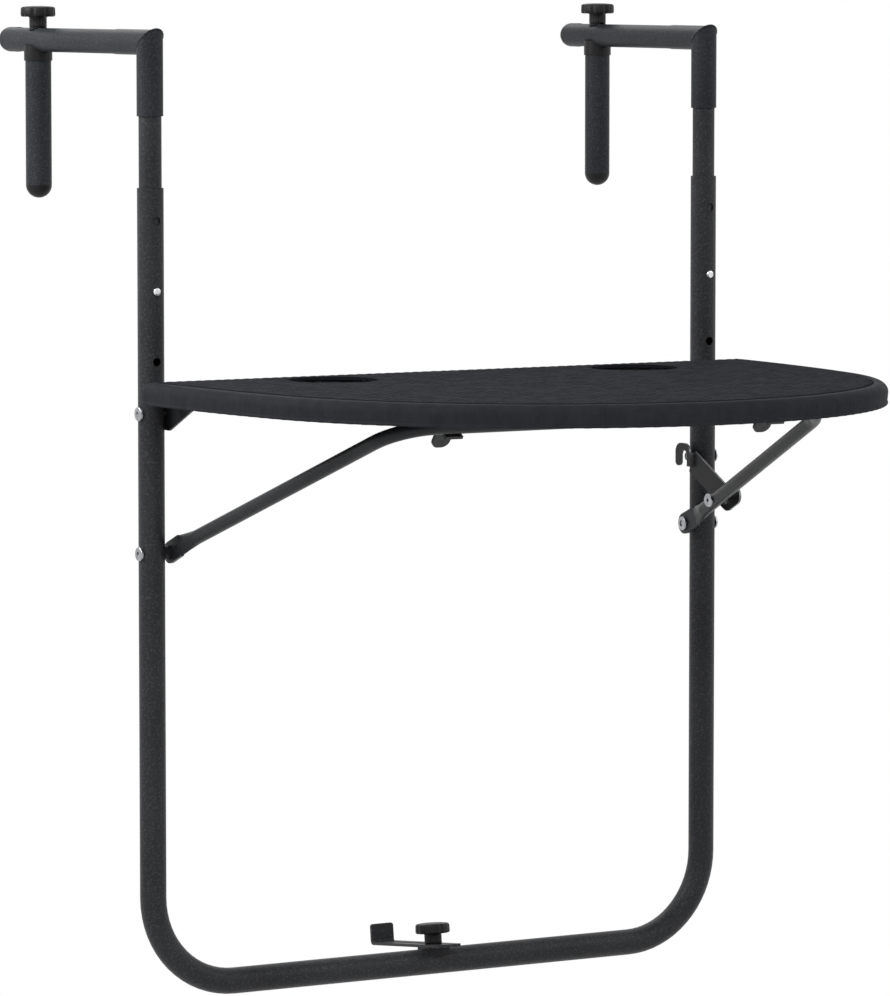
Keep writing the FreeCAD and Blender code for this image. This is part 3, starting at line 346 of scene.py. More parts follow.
@dataclass(frozen=True)
class StampedPlate(Finish):
    """Coated plate whose punched edges are worn to pale metal."""

    name: str = "stamped_plate"
    coat: Triple = (0.016, 0.0165, 0.018)
    edge: Triple = (0.33, 0.335, 0.345)
    flat_way: Triple = (1.0, 0.0, 0.0)
    facing_span: Pair = (0.75, 0.45)
    wear: float = 0.8
    chip_scale: float = 300.0
    chip_span: Pair = (0.35, 0.65)
    chip_low: float = 0.55
    bare_metal: float = 0.85
    rough_range: Pair = (0.36, 0.5)
    shine: float = 0.16
    grain_scale: float = 1100.0
    grain_depth: float = 0.1 * MM
    grain_strength: float = 0.6

    def build(self, graph: SurfaceGraph) -> None:
        """Adds the finish's nodes.

        Args:
            graph: nodes of its material.
        """
        normal = graph.add("ShaderNodeVectorMath", operation="DOT_PRODUCT")
        graph.fill(normal.inputs[0], graph.coordinates.outputs["Normal"])
        graph.fill(normal.inputs[1], self.flat_way)
        facing = graph.combine("ABSOLUTE", normal.outputs["Value"], 0.0)
        chips = graph.noise(self.chip_scale, detail=4.0)
        bare = graph.combine("MULTIPLY", graph.ramp(facing, 0.0, self.wear, self.facing_span),
                             graph.ramp(chips, self.chip_low, 1.0, self.chip_span))
        graph.paint(bare, self.coat, self.edge)
        graph.put("Metallic", graph.combine("MULTIPLY", bare, self.bare_metal))
        graph.put("Specular IOR Level", self.shine)
        grain = graph.noise(self.grain_scale)
        graph.put("Roughness", graph.ramp(grain, *self.rough_range))
        graph.put("Normal", graph.bump(grain, self.grain_depth, self.grain_strength))


@dataclass(frozen=True)
class RattanPlastic(Finish):
    """Moulded rattan look: strands with fibre lines along them and shades of their own.

    Where a crest span is set, painted shade darkens the colour from the crests to the strands'
    foot.
    """

    name: str = "rattan_plastic"
    dark: Triple = (0.0120, 0.0126, 0.0144)
    pale: Triple = (0.0530, 0.0551, 0.0623)
    roughness: float = 0.60
    swing: Pair = (-0.05, 0.09)
    shine: float = 0.002
    glint: Triple = (0.86, 0.91, 1.0)
    pitch: float = 9.0 * MM
    centre: Pair = (0.0, 0.0)
    fibre_scales: Triple = (90.0, 1900.0, 60.0)
    fibre_depth: float = 0.16 * MM
    fibre_strength: float = 0.8
    grain: float = 0.65
    shades_per_strand: float = 0.55
    shade_span: Pair = (0.35, 0.65)
    shade_share: float = 0.2
    # Painted shade: heights over which the colour darkens down into the crevices, and the gain
    # that paints the crests lighter.
    crevice_shade_span: Pair | None = None
    crevice_shade_gain: float = 1.9

    def build(self, graph: SurfaceGraph) -> None:
        """Adds the finish's nodes.

        Args:
            graph: nodes of its material.
        """
        per_metre = 1.0 / self.pitch
        squares = graph.place((per_metre, per_metre, 0.0), (-self.centre[0] * per_metre,
                                                            -self.centre[1] * per_metre, 0.5))
        checker = graph.add("ShaderNodeTexChecker", Scale=1.0, Vector=squares)
        along, across, upward = self.fibre_scales
        lines = [graph.noise(1.0, detail=2.0, vector=graph.place(scales))
                 for scales in ((along, across, upward), (across, along, upward))]
        fibre = graph.add("ShaderNodeMix", data_type="FLOAT", Factor=checker.outputs["Fac"],
                          A=lines[0], B=lines[1]).outputs["Result"]
        shade = graph.noise(per_metre * self.shades_per_strand, detail=1.0, roughness=0.5)
        tone = graph.combine("ADD", graph.ramp(fibre, 0.0, self.grain),
                             graph.ramp(shade, 0.0, self.shade_share, self.shade_span))
        # Painted shade and light: the colour darkens down into the crevices between strands and
        # lightens on their crests.
        if self.crevice_shade_span is not None:
            height = graph.ramp(graph.upward("Object"), 0.0, self.crevice_shade_gain, self.crevice_shade_span)
            tone = graph.combine("MULTIPLY", tone, height)
        graph.paint(tone, self.dark, self.pale)
        graph.roughen(fibre, self.swing, self.roughness)
        graph.put("Specular IOR Level", self.shine)
        graph.put("Specular Tint", (*self.glint, 1.0))
        graph.put("Normal", graph.bump(fibre, self.fibre_depth, self.fibre_strength))


FRAME_COAT = PowderCoat()
ARM_COAT = PowderCoat(name="arm_coat", dark=(0.017, 0.019, 0.022), pale=(0.080, 0.085, 0.094),
                      roughness=0.40, peel_depth=0.13 * MM, peel_scale=620.0, fleck=0.7,
                      shine=0.10)
BRACE_COAT = PowderCoat(name="brace_coat", dark=(0.020, 0.021, 0.023), pale=(0.075, 0.079, 0.085),
                        roughness=0.36, peel_depth=0.08 * MM, peel_scale=800.0, fleck=0.5)
STRIP_COAT = PowderCoat(name="strip_coat", peel_depth=0.1 * MM)
PLASTIC = MouldedPlastic()
TOP_PLASTIC = MouldedPlastic(name="top_plastic", dark=(0.0165, 0.0170, 0.0191),
                             pale=(0.0240, 0.0247, 0.0276), roughness=0.5)
ZINC = ZincPlate()
BUTTON_STEEL = ZincPlate(name="button_steel", pale=(0.80, 0.81, 0.82), dark=(0.60, 0.61, 0.62),
                         roughness=0.18)
LATCH_PLATE = StampedPlate()
BRACKET_PLATE = StampedPlate(name="bracket_plate", edge=(0.11, 0.112, 0.116), wear=0.5)
CATCH_PLATE = StampedPlate(name="stamped_catch", coat=(0.038, 0.039, 0.041),
                           edge=(0.14, 0.14, 0.145), wear=0.35, shine=0.07)

Looks = tuple[tuple[Finish, tuple[str, ...]], ...]


def dress_nodes(looks: Looks, prefix: str = "") -> None:
    """Lays finishes on nodes that keep their own shape.

    Args:
        looks: each finish with the nodes that take it.
        prefix: what stands before every one of these names.
    """
    for look, names in looks:
        for name in (prefix + word for word in names):
            look.lay_on(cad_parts[name])
            LOG.info("%s: %s", name, look.name)


def add_object(name: str, data: bpy.types.ID) -> bpy.types.Object:
    """Puts a new object in the scene.

    Args:
        name: name of the object.
        data: its mesh, lamp or camera data.

    Returns:
        The object.
    """
    made = bpy.data.objects.new(name, data)
    bpy.context.scene.collection.objects.link(made)
    return made


class Piece:
    """A new mesh piece, kept at the origin with its place in its mesh."""

    def __init__(self, name: str) -> None:
        """Starts an empty piece of that name."""
        self.name = name
        self.mesh = bmesh.new()

    def copy_node(self, name: str) -> None:
        """Takes over a node's mesh, merged and in its place.

        Args:
            name: name of the node.
        """
        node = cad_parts[name]
        self.mesh.from_mesh(node.data)
        bmesh.ops.remove_doubles(self.mesh, verts=self.mesh.verts, dist=MERGE)
        self.place(node.matrix_world.copy())

    def draw(self, points: Iterable[Triple]) -> list:
        """Draws an open line.

        Args:
            points: the line's points in order.

        Returns:
            Its vertices and edges.
        """
        verts = [self.mesh.verts.new(point) for point in points]
        return verts + [self.mesh.edges.new(pair) for pair in zip(verts, verts[1:])]

    def lathe(self, profile: Iterable[Pair], steps: int) -> None:
        """Turns an outline of (radius, height) round the Z axis.

        Args:
            profile: outline from one pole or rim to the other, in metres.
            steps: number of segments in the full turn.
        """
        line = self.draw((radius, 0.0, height) for radius, height in profile)
        bmesh.ops.spin(self.mesh, geom=line, cent=(0, 0, 0), axis=(0, 0, 1), dvec=(0, 0, 0),
                       angle=math.tau, steps=steps, use_merge=True, use_duplicate=False)
        bmesh.ops.remove_doubles(self.mesh, verts=self.mesh.verts, dist=MERGE)

    def ring(self, radius: float, width: float, height: float, sides: int, steps: int) -> None:
        """Turns an oval section, given by its half width and half height, round the Z axis."""
        angles = (math.tau * side / sides for side in range(sides + 1))
        self.lathe([(radius + width * math.cos(a), height * math.sin(a)) for a in angles], steps)

    def carry(self, line: list, steps: int, centre: Iterable[float] = (0, 0, 0),
              angle: float = 0.0, move: Iterable[float] = (0, 0, 0)) -> list:
        """Carries a line round a vertical axis or straight on, and fills in the faces.

        Args:
            line: the line's vertices and edges.
            steps: number of steps.
            centre: a point on the axis.
            angle: the whole turn in radians.
            move: shift per step.

        Returns:
            The line's vertices and edges at its last place.
        """
        made = bmesh.ops.spin(self.mesh, geom=line, cent=centre, axis=(0, 0, 1), dvec=move,
                              angle=angle, steps=steps, use_merge=False, use_duplicate=False)
        return [part for part in made["geom_last"]
                if isinstance(part, (bmesh.types.BMVert, bmesh.types.BMEdge))]

    def shift(self, move: Callable[[Vector], Vector]) -> None:
        """Moves every vertex.

        Args:
            move: gives a vertex its new place.
        """
        for vert in self.mesh.verts:
            vert.co = move(vert.co)

    def place(self, matrix: Matrix) -> None:
        """Sets the mesh in place."""
        bmesh.ops.transform(self.mesh, matrix=matrix, verts=self.mesh.verts)

    def finish(self, body: str, look: Finish, replaced: tuple[str, ...] = (),
               recalculate: bool = True, crease: float = math.pi,
               bend: tuple[str, Vector, Vector] | None = None) -> None:
        """Closes the mesh and hands the object over to its body, or, where a bend is given, bakes
        it in place.

        Args:
            body: the moving body it rides on.
            look: its finish.
            replaced: nodes that it stands for.
            recalculate: whether its normals are worked out again.
            crease: angle between faces above which their edge is drawn sharp.
            bend: second body and the points where a bend would start and end; they are not used,
                and where it is given the piece stays baked in place on no body.
        """
        if recalculate:
            bmesh.ops.recalc_face_normals(self.mesh, faces=self.mesh.faces)
        for face in self.mesh.faces:
            face.smooth = True
        data = bpy.data.meshes.new(self.name)
        self.mesh.to_mesh(data)
        self.mesh.free()
        data.set_sharp_from_angle(angle=crease)
        made = add_object(self.name, data)
        look.lay_on(made)
        if bend is None:
            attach(made, body)
        else:
            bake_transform(made)
        if replaced:
            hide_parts(*replaced)
        LOG.info("%s: %d faces on %s", self.name, len(data.polygons), body)


@dataclass
class WovenTop:
    """The table top: moulded core, woven field, wrapped rim and the cup rests' beads."""

    half_width: float = 297.6 * MM
    depth: float = 433.95 * MM
    side_radius: float = 1185.0 * MM
    corner_radius: float = 12.0 * MM
    rear_y: float = -22.8 * MM
    top_z: float = -267.0 * MM
    thickness: float = 18.0 * MM
    slack: float = 0.05 * MM

    # Moulded core
    skin_depth: float = 0.5 * MM
    skin_drop: float = 1.5 * MM
    skin_draw: float = 1.2
    wall_cut: float = 1.5 * MM

    # Woven field
    pitch: float = 9.0 * MM
    relief: float = 0.9 * MM
    crown_power: float = 0.6
    flank_power: int = 3
    flank_floor: float = 0.25
    grid_step: float = 1.7 * MM
    field_lift: float = 0.1 * MM
    field_dip: float = 0.6
    fade_start: float = 0.6
    border: float = 13.0 * MM
    border_overlap: float = 4.0 * MM
    cup_overlap: float = 2.0 * MM

    # Wrapped rim
    groove: tuple[Pair, ...] = ((0.0, 1.4 * MM), (1.2 * MM, 0.5 * MM), (2.4 * MM, 0.0))
    top_round: float = 8.0 * MM
    round_steps: int = 7
    undercut: float = 0.7 * MM
    bead: float = 1.4 * MM
    rim_wall: float = 6.0 * MM
    rib_pitch: float = 7.0 * MM
    rib_relief: float = 0.18 * MM
    rib_power: float = 0.7
    rib_start: float = 1.5 * MM
    rib_fade: float = 3.0 * MM
    steps_per_rib: int = 6
    stitch_pitch: float = 14.0 * MM
    stitch_relief: float = 0.15 * MM
    stitch_power: float = 0.5

    # Cup rests
    cup_x: float = 147.0 * MM
    cup_y: float = -84.5 * MM
    cup_radius: float = 36.5 * MM
    bead_radius: float = 0.6 * MM
    bead_flatness: float = 0.8
    front_radius: float = field(init=False)
    meet: float = field(init=False)

    def __post_init__(self) -> None:
        """Works out the front arc and the angle, about a side arc's centre, where they join."""
        half, depth, side = self.half_width, self.depth, self.side_radius
        self.front_radius = (half ** 2 + depth ** 2 - 2 * half * side) / (2 * (depth - side))
        self.meet = math.atan2(depth - self.front_radius, side - half)

    def _inset(self, x: float, y: float) -> float:
        """Distance of a point from the outline, positive inside.

        Args:
            x: the point's X.
            y: the point's Y.

        Returns:
            The distance in metres.
        """
        forward = self.rear_y - y
        across = abs(x) - (self.half_width - self.side_radius)
        if math.atan2(forward, across) < self.meet:
            edge = self.side_radius - math.hypot(across, forward)
        else:
            edge = self.front_radius - math.hypot(x, forward - (self.depth - self.front_radius))
        return min(edge, forward)

    def _along(self, co: Vector) -> float:
        """Distance along the outline from the middle of the rear edge.

        Args:
            co: a point of the rim.

        Returns:
            The distance in metres.
        """
        forward = self.rear_y - co.y
        angle = math.atan2(forward, abs(co.x) - (self.half_width - self.side_radius))
        if forward < self.corner_radius and abs(co.x) < self.half_width - self.corner_radius:
            return abs(co.x)
        if angle < self.meet:
            return self.half_width + angle * self.side_radius
        turn = math.atan2(forward - (self.depth - self.front_radius), abs(co.x)) - self.meet
        return self.half_width + self.meet * self.side_radius + turn * self.front_radius

    def _from_cup(self, x: float, y: float) -> float:
        """Distance of a point from the middle of the nearer cup rest."""
        return math.hypot(abs(x) - self.cup_x, y - self.cup_y)

    def _strand(self, x: float, y: float) -> float:
        """Height of the plaited strands at a point.

        Args:
            x: the point's X.
            y: the point's Y.

        Returns:
            The height, 0 to 1.
        """
        u = x / self.pitch
        v = (y - self.rear_y) / self.pitch
        column, row = math.floor(u), math.floor(v)
        fu, fv = u - column - 0.5, v - row - 0.5
        along, cross = (fu, fv) if (column + row) % 2 == 0 else (fv, fu)
        crown = math.cos(math.pi * along) ** self.crown_power if abs(along) < 0.5 else 0.0
        flank = max(0.0, 1.0 - abs(2.0 * cross) ** self.flank_power)
        return crown * (self.flank_floor + (1.0 - self.flank_floor) * flank)

    def _rib(self, co: Vector) -> float:
        """How far the wrapped strands and the stitched bead stand out at a point of the rim.

        Args:
            co: the point.

        Returns:
            The height in metres.
        """
        along = self._along(co)
        below = self.top_z - co.z
        if below > self.thickness - 2 * self.bead - 2 * self.slack:
            wave = max(0.0, math.sin(math.tau * along / self.stitch_pitch))
            return self.stitch_relief * wave ** self.stitch_power
        share = min(1.0, max(0.0, (below - self.rib_start) / self.rib_fade))
        wave = abs(math.sin(math.pi * along / self.rib_pitch))
        return self.rib_relief * share * wave ** self.rib_power

    def _rim_profile(self) -> list[Pair]:
        """Section of the rim: groove, round shoulder, undercut side, stitched bead, underside.

        Returns:
            Its points as (inset, height).
        """
        top, low = self.top_z, self.top_z - self.thickness
        points = [(self.border - back, top - drop) for back, drop in self.groove]
        for step in range(self.round_steps + 1):
            angle = math.radians(90.0 / self.round_steps * step)
            points.append((self.top_round * (1 - math.sin(angle)),
                           top - self.top_round * (1 - math.cos(angle))))
        waist = low + 2 * self.bead
        for share in (0.25, 0.5, 0.75, 1.0):
            points.append((self.undercut * share,
                           top - self.top_round + (waist - top + self.top_round) * share))
        for degrees in range(30, 181, 30):
            angle = math.radians(degrees)
            points.append((self.undercut + self.bead * (0.5 - math.sin(angle)),
                           low + self.bead + self.bead * math.cos(angle)))
        points.append((self.rim_wall, low))
        return points

    def build_core(self) -> None:
        """Moulded core: the ribbed underside and cup rests, without the rim's outer wall."""
        piece = Piece("moulded_core")
        piece.copy_node("table_top")
        wall = [face for face in piece.mesh.faces
                if all(self._inset(*v.co.xy) < self.rim_wall - self.wall_cut for v in face.verts)
                and face.calc_center_median().z < self.top_z - self.slack]
        bmesh.ops.delete(piece.mesh, geom=wall, context="FACES")
        middle = Vector((0.0, self.rear_y - self.depth / 2, 0.0))

        def sink(co: Vector) -> Vector:
            """Lowers the top skin under the woven field and draws its edge in under the rim.

            Args:
                co: a vertex.

            Returns:
                Its new place.
            """
            if co.z < self.top_z - self.skin_depth:
                return co
            short = max(0.0, self.rim_wall - self._inset(co.x, co.y)) * self.skin_draw
            inward = (middle - Vector((co.x, co.y, 0.0))).normalized() * short
            return Vector((co.x + inward.x, co.y + inward.y, co.z - self.skin_drop))

        piece.shift(sink)
        piece.finish("table", TOP_PLASTIC, ("table_top",), recalculate=False,
                     crease=CREASE)

    def build_field(self) -> None:
        """Woven field, which dips under the top's surface at the rim and the cup rests."""
        piece = Piece("woven_field")
        bmesh.ops.create_grid(piece.mesh, x_segments=int(2 * self.half_width / self.grid_step),
                              y_segments=int(self.depth / self.grid_step), size=0.5)
        middle_y = self.rear_y - self.depth / 2

        def raise_strands(co: Vector) -> Vector:
            """Places a grid point and lifts it by the strands.

            Args:
                co: a point of the unit grid.

            Returns:
                Its place on the top.
            """
            x = co.x * 2 * self.half_width
            y = middle_y + co.y * self.depth
            cup = self._from_cup(x, y) - self.cup_radius
            free = min(self._inset(x, y) - self.border, cup - 2 * self.bead_radius)
            dip = min(0.0, free) * self.field_dip
            fade = min(1.0, max(0.0, free / self.pitch + self.fade_start))
            lift = self.relief * self._strand(x, y) * fade
            return Vector((x, y, self.top_z + self.field_lift + lift + dip))

        def is_hidden(face: bmesh.types.BMFace) -> bool:
            """Whether a face lies well under the rim or in a cup rest."""
            x, y = face.calc_center_median().xy
            return (self._inset(x, y) < self.border - self.border_overlap
                    or self._from_cup(x, y) < self.cup_radius - self.cup_overlap)

        piece.shift(raise_strands)
        lost = [face for face in piece.mesh.faces if is_hidden(face)]
        bmesh.ops.delete(piece.mesh, geom=lost, context="FACES")
        foot = self.top_z + self.field_lift
        # The crest span sets where the painted shade between the strands starts and where the
        # painted light on their crests is full.
        look = RattanPlastic(pitch=self.pitch, centre=(0.0, self.rear_y),
                             crevice_shade_span=(foot + self.field_lift, foot + self.relief))
        piece.finish("table", look, recalculate=False)

    def _sweep(self, piece: Piece, line: list, centre: Vector, angle: float,
               radius: float) -> list:
        """Carries the rim's section along an arc of the outline and returns it at its end."""
        steps = max(2, round(abs(angle) * radius / (self.rib_pitch / self.steps_per_rib)))
        return piece.carry(line, steps, centre, angle)

    def build_rim(self) -> None:
        """Rim wrapped in strands that run over the edge from top to underside."""
        piece = Piece("wrapped_rim")
        mesh = piece.mesh
        corner = self.corner_radius
        side_start = math.asin(corner / (self.side_radius - corner))
        side_centre = Vector((self.half_width - self.side_radius, self.rear_y, 0.0))
        corner_x = side_centre.x + (self.side_radius - corner) * math.cos(side_start)
        corner_centre = Vector((corner_x, self.rear_y - corner, 0.0))
        front_centre = Vector((0.0, self.rear_y - (self.depth - self.front_radius), 0.0))
        line = piece.draw((0.0, self.rear_y - inset, z) for inset, z in self._rim_profile())
        count = round(corner_x / (self.rib_pitch / self.steps_per_rib))
        line = piece.carry(line, count, move=(corner_x / count, 0, 0))
        line = self._sweep(piece, line, corner_centre, -(math.pi / 2 + side_start), corner)
        line = self._sweep(piece, line, side_centre, -(self.meet - side_start), self.side_radius)
        self._sweep(piece, line, front_centre, -(math.pi / 2 - self.meet), self.front_radius)
        bmesh.ops.mirror(mesh, geom=mesh.verts[:] + mesh.edges[:] + mesh.faces[:], axis="X",
                         merge_dist=SEAM)
        bmesh.ops.remove_doubles(mesh, verts=mesh.verts, dist=SEAM)
        bmesh.ops.recalc_face_normals(mesh, faces=mesh.faces)
        mesh.normal_update()
        upwards = sum(face.normal.z * face.calc_area() for face in mesh.faces
                      if face.calc_center_median().z > self.top_z - 1.0 * MM)
        if upwards < 0:
            bmesh.ops.reverse_faces(mesh, faces=mesh.faces)
            mesh.normal_update()
        places = [vert.co + vert.normal * (self.slack + self._rib(vert.co)) for vert in mesh.verts]
        for vert, place in zip(mesh.verts, places):
            vert.co = place
        look = RattanPlastic(name="rattan_rim", dark=(0.0262, 0.0273, 0.0312),
                             pale=(0.0475, 0.0494, 0.0560), pitch=self.rib_pitch, grain=0.22,
                             roughness=0.50, shine=0.008)
        piece.finish("table", look, recalculate=False)

    def build_cup_beads(self) -> None:
        """Raised beads round the two cup rests."""
        for side in Side:
            piece = Piece(side.word + "cup_rest_bead")
            piece.ring(self.cup_radius + self.bead_radius, self.bead_radius,
                       self.bead_radius * self.bead_flatness, sides=12, steps=96)
            piece.place(Matrix.Translation((side.value * self.cup_x, self.cup_y, self.top_z)))
            piece.finish("table", RattanPlastic())

    def build(self) -> None:
        """Builds the whole top."""
        self.build_core()
        self.build_field()
        self.build_rim()
        self.build_cup_beads()


@dataclass
class HandKnob:
    """Hand knob: lobed domed head on a fluted neck."""

    head_radius: float = 14.7 * MM
    head_height: float = 9.1 * MM
    neck_radius: float = 7.4 * MM
    height: float = 18.0 * MM
    screw_radius: float = 3.0 * MM
    foot_chamfer: float = 0.5 * MM
    neck_fillet: float = 0.8 * MM
    skirt: tuple[Pair, ...] = ((-1.6 * MM, 0.0), (-0.5 * MM, 0.35 * MM), (0.0, 1.3 * MM),
                               (0.0, 3.2 * MM), (-0.1 * MM, 5.2 * MM))
    crown_drop: float = 2.6 * MM
    crown_rise: float = 2.0 * MM
    crown_draw: float = 0.1 * MM
    dome: tuple[Pair, ...] = ((0.6, 0.25 * MM), (0.3, 0.05 * MM), (0.0, 0.0))
    lobes: int = 8
    lobe_depth: float = 0.9 * MM
    lobe_power: int = 4
    lobe_start: float = 1.5 * MM
    flutes: int = 20
    flute_depth: float = 0.35 * MM
    flute_foot: float = 0.6 * MM
    flute_head: float = 0.9 * MM
    flute_skin: float = 0.2 * MM
    steps: int = 160

    def _profile(self) -> list[Pair]:
        """Outline from the screw hole's foot to the crown.

        Returns:
            Its points as (radius, height).
        """
        low, neck, head = self.height - self.head_height, self.neck_radius, self.head_radius
        points = [(self.screw_radius, 0.0), (neck - self.foot_chamfer, 0.0),
                  (neck, self.foot_chamfer)]
        points += [(neck, low * k / 4) for k in (1, 2, 3)]
        points += [(neck, low - self.neck_fillet), (neck + self.neck_fillet, low)]
        points += [(head + out, low + up) for out, up in self.skirt]
        crown = self.height - self.crown_drop
        for degrees in range(15, 91, 15):
            angle = math.radians(degrees)
            points.append((head - self.crown_drop * (1 - math.cos(angle)) - self.crown_draw,
                           crown + self.crown_rise * math.sin(angle)))
        return points + [(head * share, self.height - drop) for share, drop in self.dome]

    def _press(self, co: Vector) -> Vector:
        """Presses the lobes and flutes into the turned form.

        Args:
            co: a vertex.

        Returns:
            Its new place.
        """
        radius = math.hypot(co.x, co.y)
        if radius < MERGE:
            return co
        low, neck = self.height - self.head_height, self.neck_radius
        angle = math.atan2(co.y, co.x)
        cut = 0.0
        if co.z >= low - MERGE and radius > neck + self.lobe_start:
            wave = max(0.0, math.cos(angle * self.lobes)) ** 2
            share = min(1.0, (radius - neck) / (self.head_radius - neck))
            cut = self.lobe_depth * wave * share ** self.lobe_power
        elif self.flute_foot < co.z < low - self.flute_head and radius > neck - self.flute_skin:
            cut = self.flute_depth * (0.5 + 0.5 * math.cos(angle * self.flutes))
        scale = (radius - cut) / radius
        return Vector((co.x * scale, co.y * scale, co.z))

    def build(self, name: str, body: str, node: str, place: Matrix) -> None:
        """Builds one knob.

        Args:
            name: name of the piece.
            body: body that it turns with.
            node: node that it stands for.
            place: where its foot goes.
        """
        piece = Piece(name)
        piece.lathe(self._profile(), self.steps)
        piece.shift(self._press)
        piece.place(place)
        piece.finish(body, PLASTIC, (node,))


@dataclass
class Hooks:
    """The two clamping hooks: their nodes' finishes, knobs, saddle washers, springs and welds."""

    spacing: float = 544.0 * MM
    splay: float = math.radians(2.45)
    jaw_y: float = 185.0 * MM
    arm_diameter: float = 21.0 * MM
    sleeve_radius: float = 11.0 * MM
    knob_gap: float = 0.1 * MM
    seat_gap: float = 0.05 * MM
    seat_rings: int = 4
    seat_steps: int = 96
    spring_thickness: float = 0.8 * MM
    weld: float = 0.8 * MM
    weld_sink: float = 0.35
    weld_tilt: float = math.radians(-45.0)
    ripple: float = 0.012
    ripples: float = 27.0
    knob: HandKnob = field(default_factory=HandKnob)
    looks: Looks = (
        (ARM_COAT, ("hook_arm", "jaw_tube")),
        (FRAME_COAT, ("inner_tube",)),
        (PLASTIC, ("arm_end_cap", "jaw_saddle", "jaw_end_cap")),
        (ZINC, ("jaw_nut", "clamp_screw")),
        (BUTTON_STEEL, ("snap_button",)),
    )

    def _frame_of(self, side: Side) -> Matrix:
        """Place of a hook: on its upright, turned outwards by the splay."""
        return (Matrix.Translation((side.value * self.spacing / 2, 0.0, 0.0))
                @ Matrix.Rotation(-side.value * self.splay, 4, "Z"))

    def build_knob(self, side: Side) -> None:
        """Knob over one hook's jaw.

        Args:
            side: which hook.
        """
        foot = Matrix.Translation((0.0, self.jaw_y, self.arm_diameter + self.knob_gap))
        self.knob.build(side.word + "fluted_knob", side.word + "clamp", side.word + "clamp_knob",
                        self._frame_of(side) @ foot)

    def build_seat(self, side: Side) -> None:
        """Saddle washer that fills the room between a knob's flat foot and the round arm.

        Args:
            side: which hook.
        """
        inner, outer = self.knob.screw_radius + self.seat_gap, self.knob.neck_radius
        radii = [inner + (outer - inner) * k / self.seat_rings
                 for k in range(self.seat_rings + 1)]
        upper, lower = 0.0, -1.0 * MM
        profile = [(r, upper) for r in radii] + [(r, lower) for r in reversed(radii)]
        piece = Piece(side.word + "knob_seat")
        piece.lathe(profile + [(inner, upper)], self.seat_steps)
        top = self.arm_diameter + self.knob_gap - self.seat_gap / 2
        arm_radius = self.arm_diameter / 2

        def follow(co: Vector) -> Vector:
            """Lifts the top to the knob's foot and lays the underside on the arm.

            Args:
                co: a vertex of the flat ring.

            Returns:
                Its new place.
            """
            if co.z > (upper + lower) / 2:
                return Vector((co.x, co.y, top))
            rise = math.sqrt((arm_radius + self.seat_gap) ** 2 - co.x ** 2)
            return Vector((co.x, co.y, arm_radius + rise))

        piece.shift(follow)
        piece.place(self._frame_of(side) @ Matrix.Translation((0.0, self.jaw_y, 0.0)))
        piece.finish(side.word + "jaw", PLASTIC)

    def build_spring(self, side: Side) -> None:
        """Spring strip in the inner tube, remade from its node as a merged copy in its place.

        Args:
            side: which hook.
        """
        node = side.word + "snap_spring"
        piece = Piece(side.word + "bending_spring")
        piece.copy_node(node)
        across = side.value * self.spacing / 2
        leaf = max(abs(v.co.y) for v in piece.mesh.verts) - self.spring_thickness
        bend = (side.word + "button", Vector((across, leaf, 0.0)), Vector((across, -leaf, 0.0)))
        piece.finish(side.word + "hook", ZINC, (node,), recalculate=False,
                     crease=CREASE, bend=bend)

    def build_weld(self, side: Side) -> None:
        """Weld bead round the mitre between sleeve and arm.

        Args:
            side: which hook.
        """
        piece = Piece(side.word + "elbow_weld")
        piece.ring(self.sleeve_radius - self.weld * self.weld_sink, self.weld, self.weld,
                   sides=10, steps=90)
        piece.shift(lambda co: co * (
            1.0 + self.ripple * math.sin(self.ripples * math.atan2(co.y, co.x))))
        stretch = Matrix.Diagonal((1.0, math.sqrt(2.0), 1.0, 1.0))
        piece.place(self._frame_of(side) @ Matrix.Translation((0.0, 0.0, self.arm_diameter / 2))
                    @ Matrix.Rotation(self.weld_tilt, 4, "X") @ stretch)
        piece.finish(side.word + "hook", ARM_COAT)

    def build(self) -> None:
        """Builds and dresses both hooks."""
        for side in Side:
            dress_nodes(self.looks, side.word)
            self.build_knob(side)
            self.build_seat(side)
            self.build_spring(side)
            self.build_weld(side)


@dataclass
class FoldingFrame:
    """Frame, brace, latch and top fittings: their nodes keep their shapes and take finishes."""

    looks: Looks = (
        (FRAME_COAT, ("u_frame",)),
        (BRACE_COAT, ("brace",)),
        (LATCH_PLATE, ("latch_plate",)),
        (BRACKET_PLATE, ("left_hinge_bracket", "right_hinge_bracket")),
        (CATCH_PLATE, ("left_catch", "right_catch")),
        (ZINC, ("table_hinge_bolts", "table_hinge_nuts", "brace_bolts", "brace_nuts",
                "latch_rivet", "latch_washer", "latch_pin", "bracket_screws", "catch_screws")),
        (PLASTIC, ("brace_spacers",)),
    )

    def build(self) -> None:
        """Dresses the nodes."""
        dress_nodes(self.looks)


@dataclass
class BottomSpacer:
    """Slotted strip, saddle and knob on the bottom bar."""

    bar_z: float = -774.5 * MM
    bar_radius: float = 11.0 * MM
    saddle_wall: float = 1.2 * MM
    strip_thickness: float = 2.5 * MM
    knob_gap: float = 0.1 * MM
    tilt: float = math.radians(-6.5)
    knob: HandKnob = field(default_factory=HandKnob)
    looks: Looks = (
        (PLASTIC, ("spacer_saddle",)),
        (STRIP_COAT, ("spacer_strip",)),
        (ZINC, ("spacer_screw", "spacer_rivet_nut")),
    )

    def build(self) -> None:
        """Builds the knob and dresses the nodes."""
        foot = self.bar_radius + self.saddle_wall + self.strip_thickness + self.knob_gap
        place = (Matrix.Translation((0.0, 0.0, self.bar_z)) @ Matrix.Rotation(self.tilt, 4, "X")
                 @ Matrix.Translation((0.0, 0.0, foot)))
        self.knob.build("spacer_fluted_knob", "spacer_clamp", "spacer_knob", place)
        dress_nodes(self.looks)


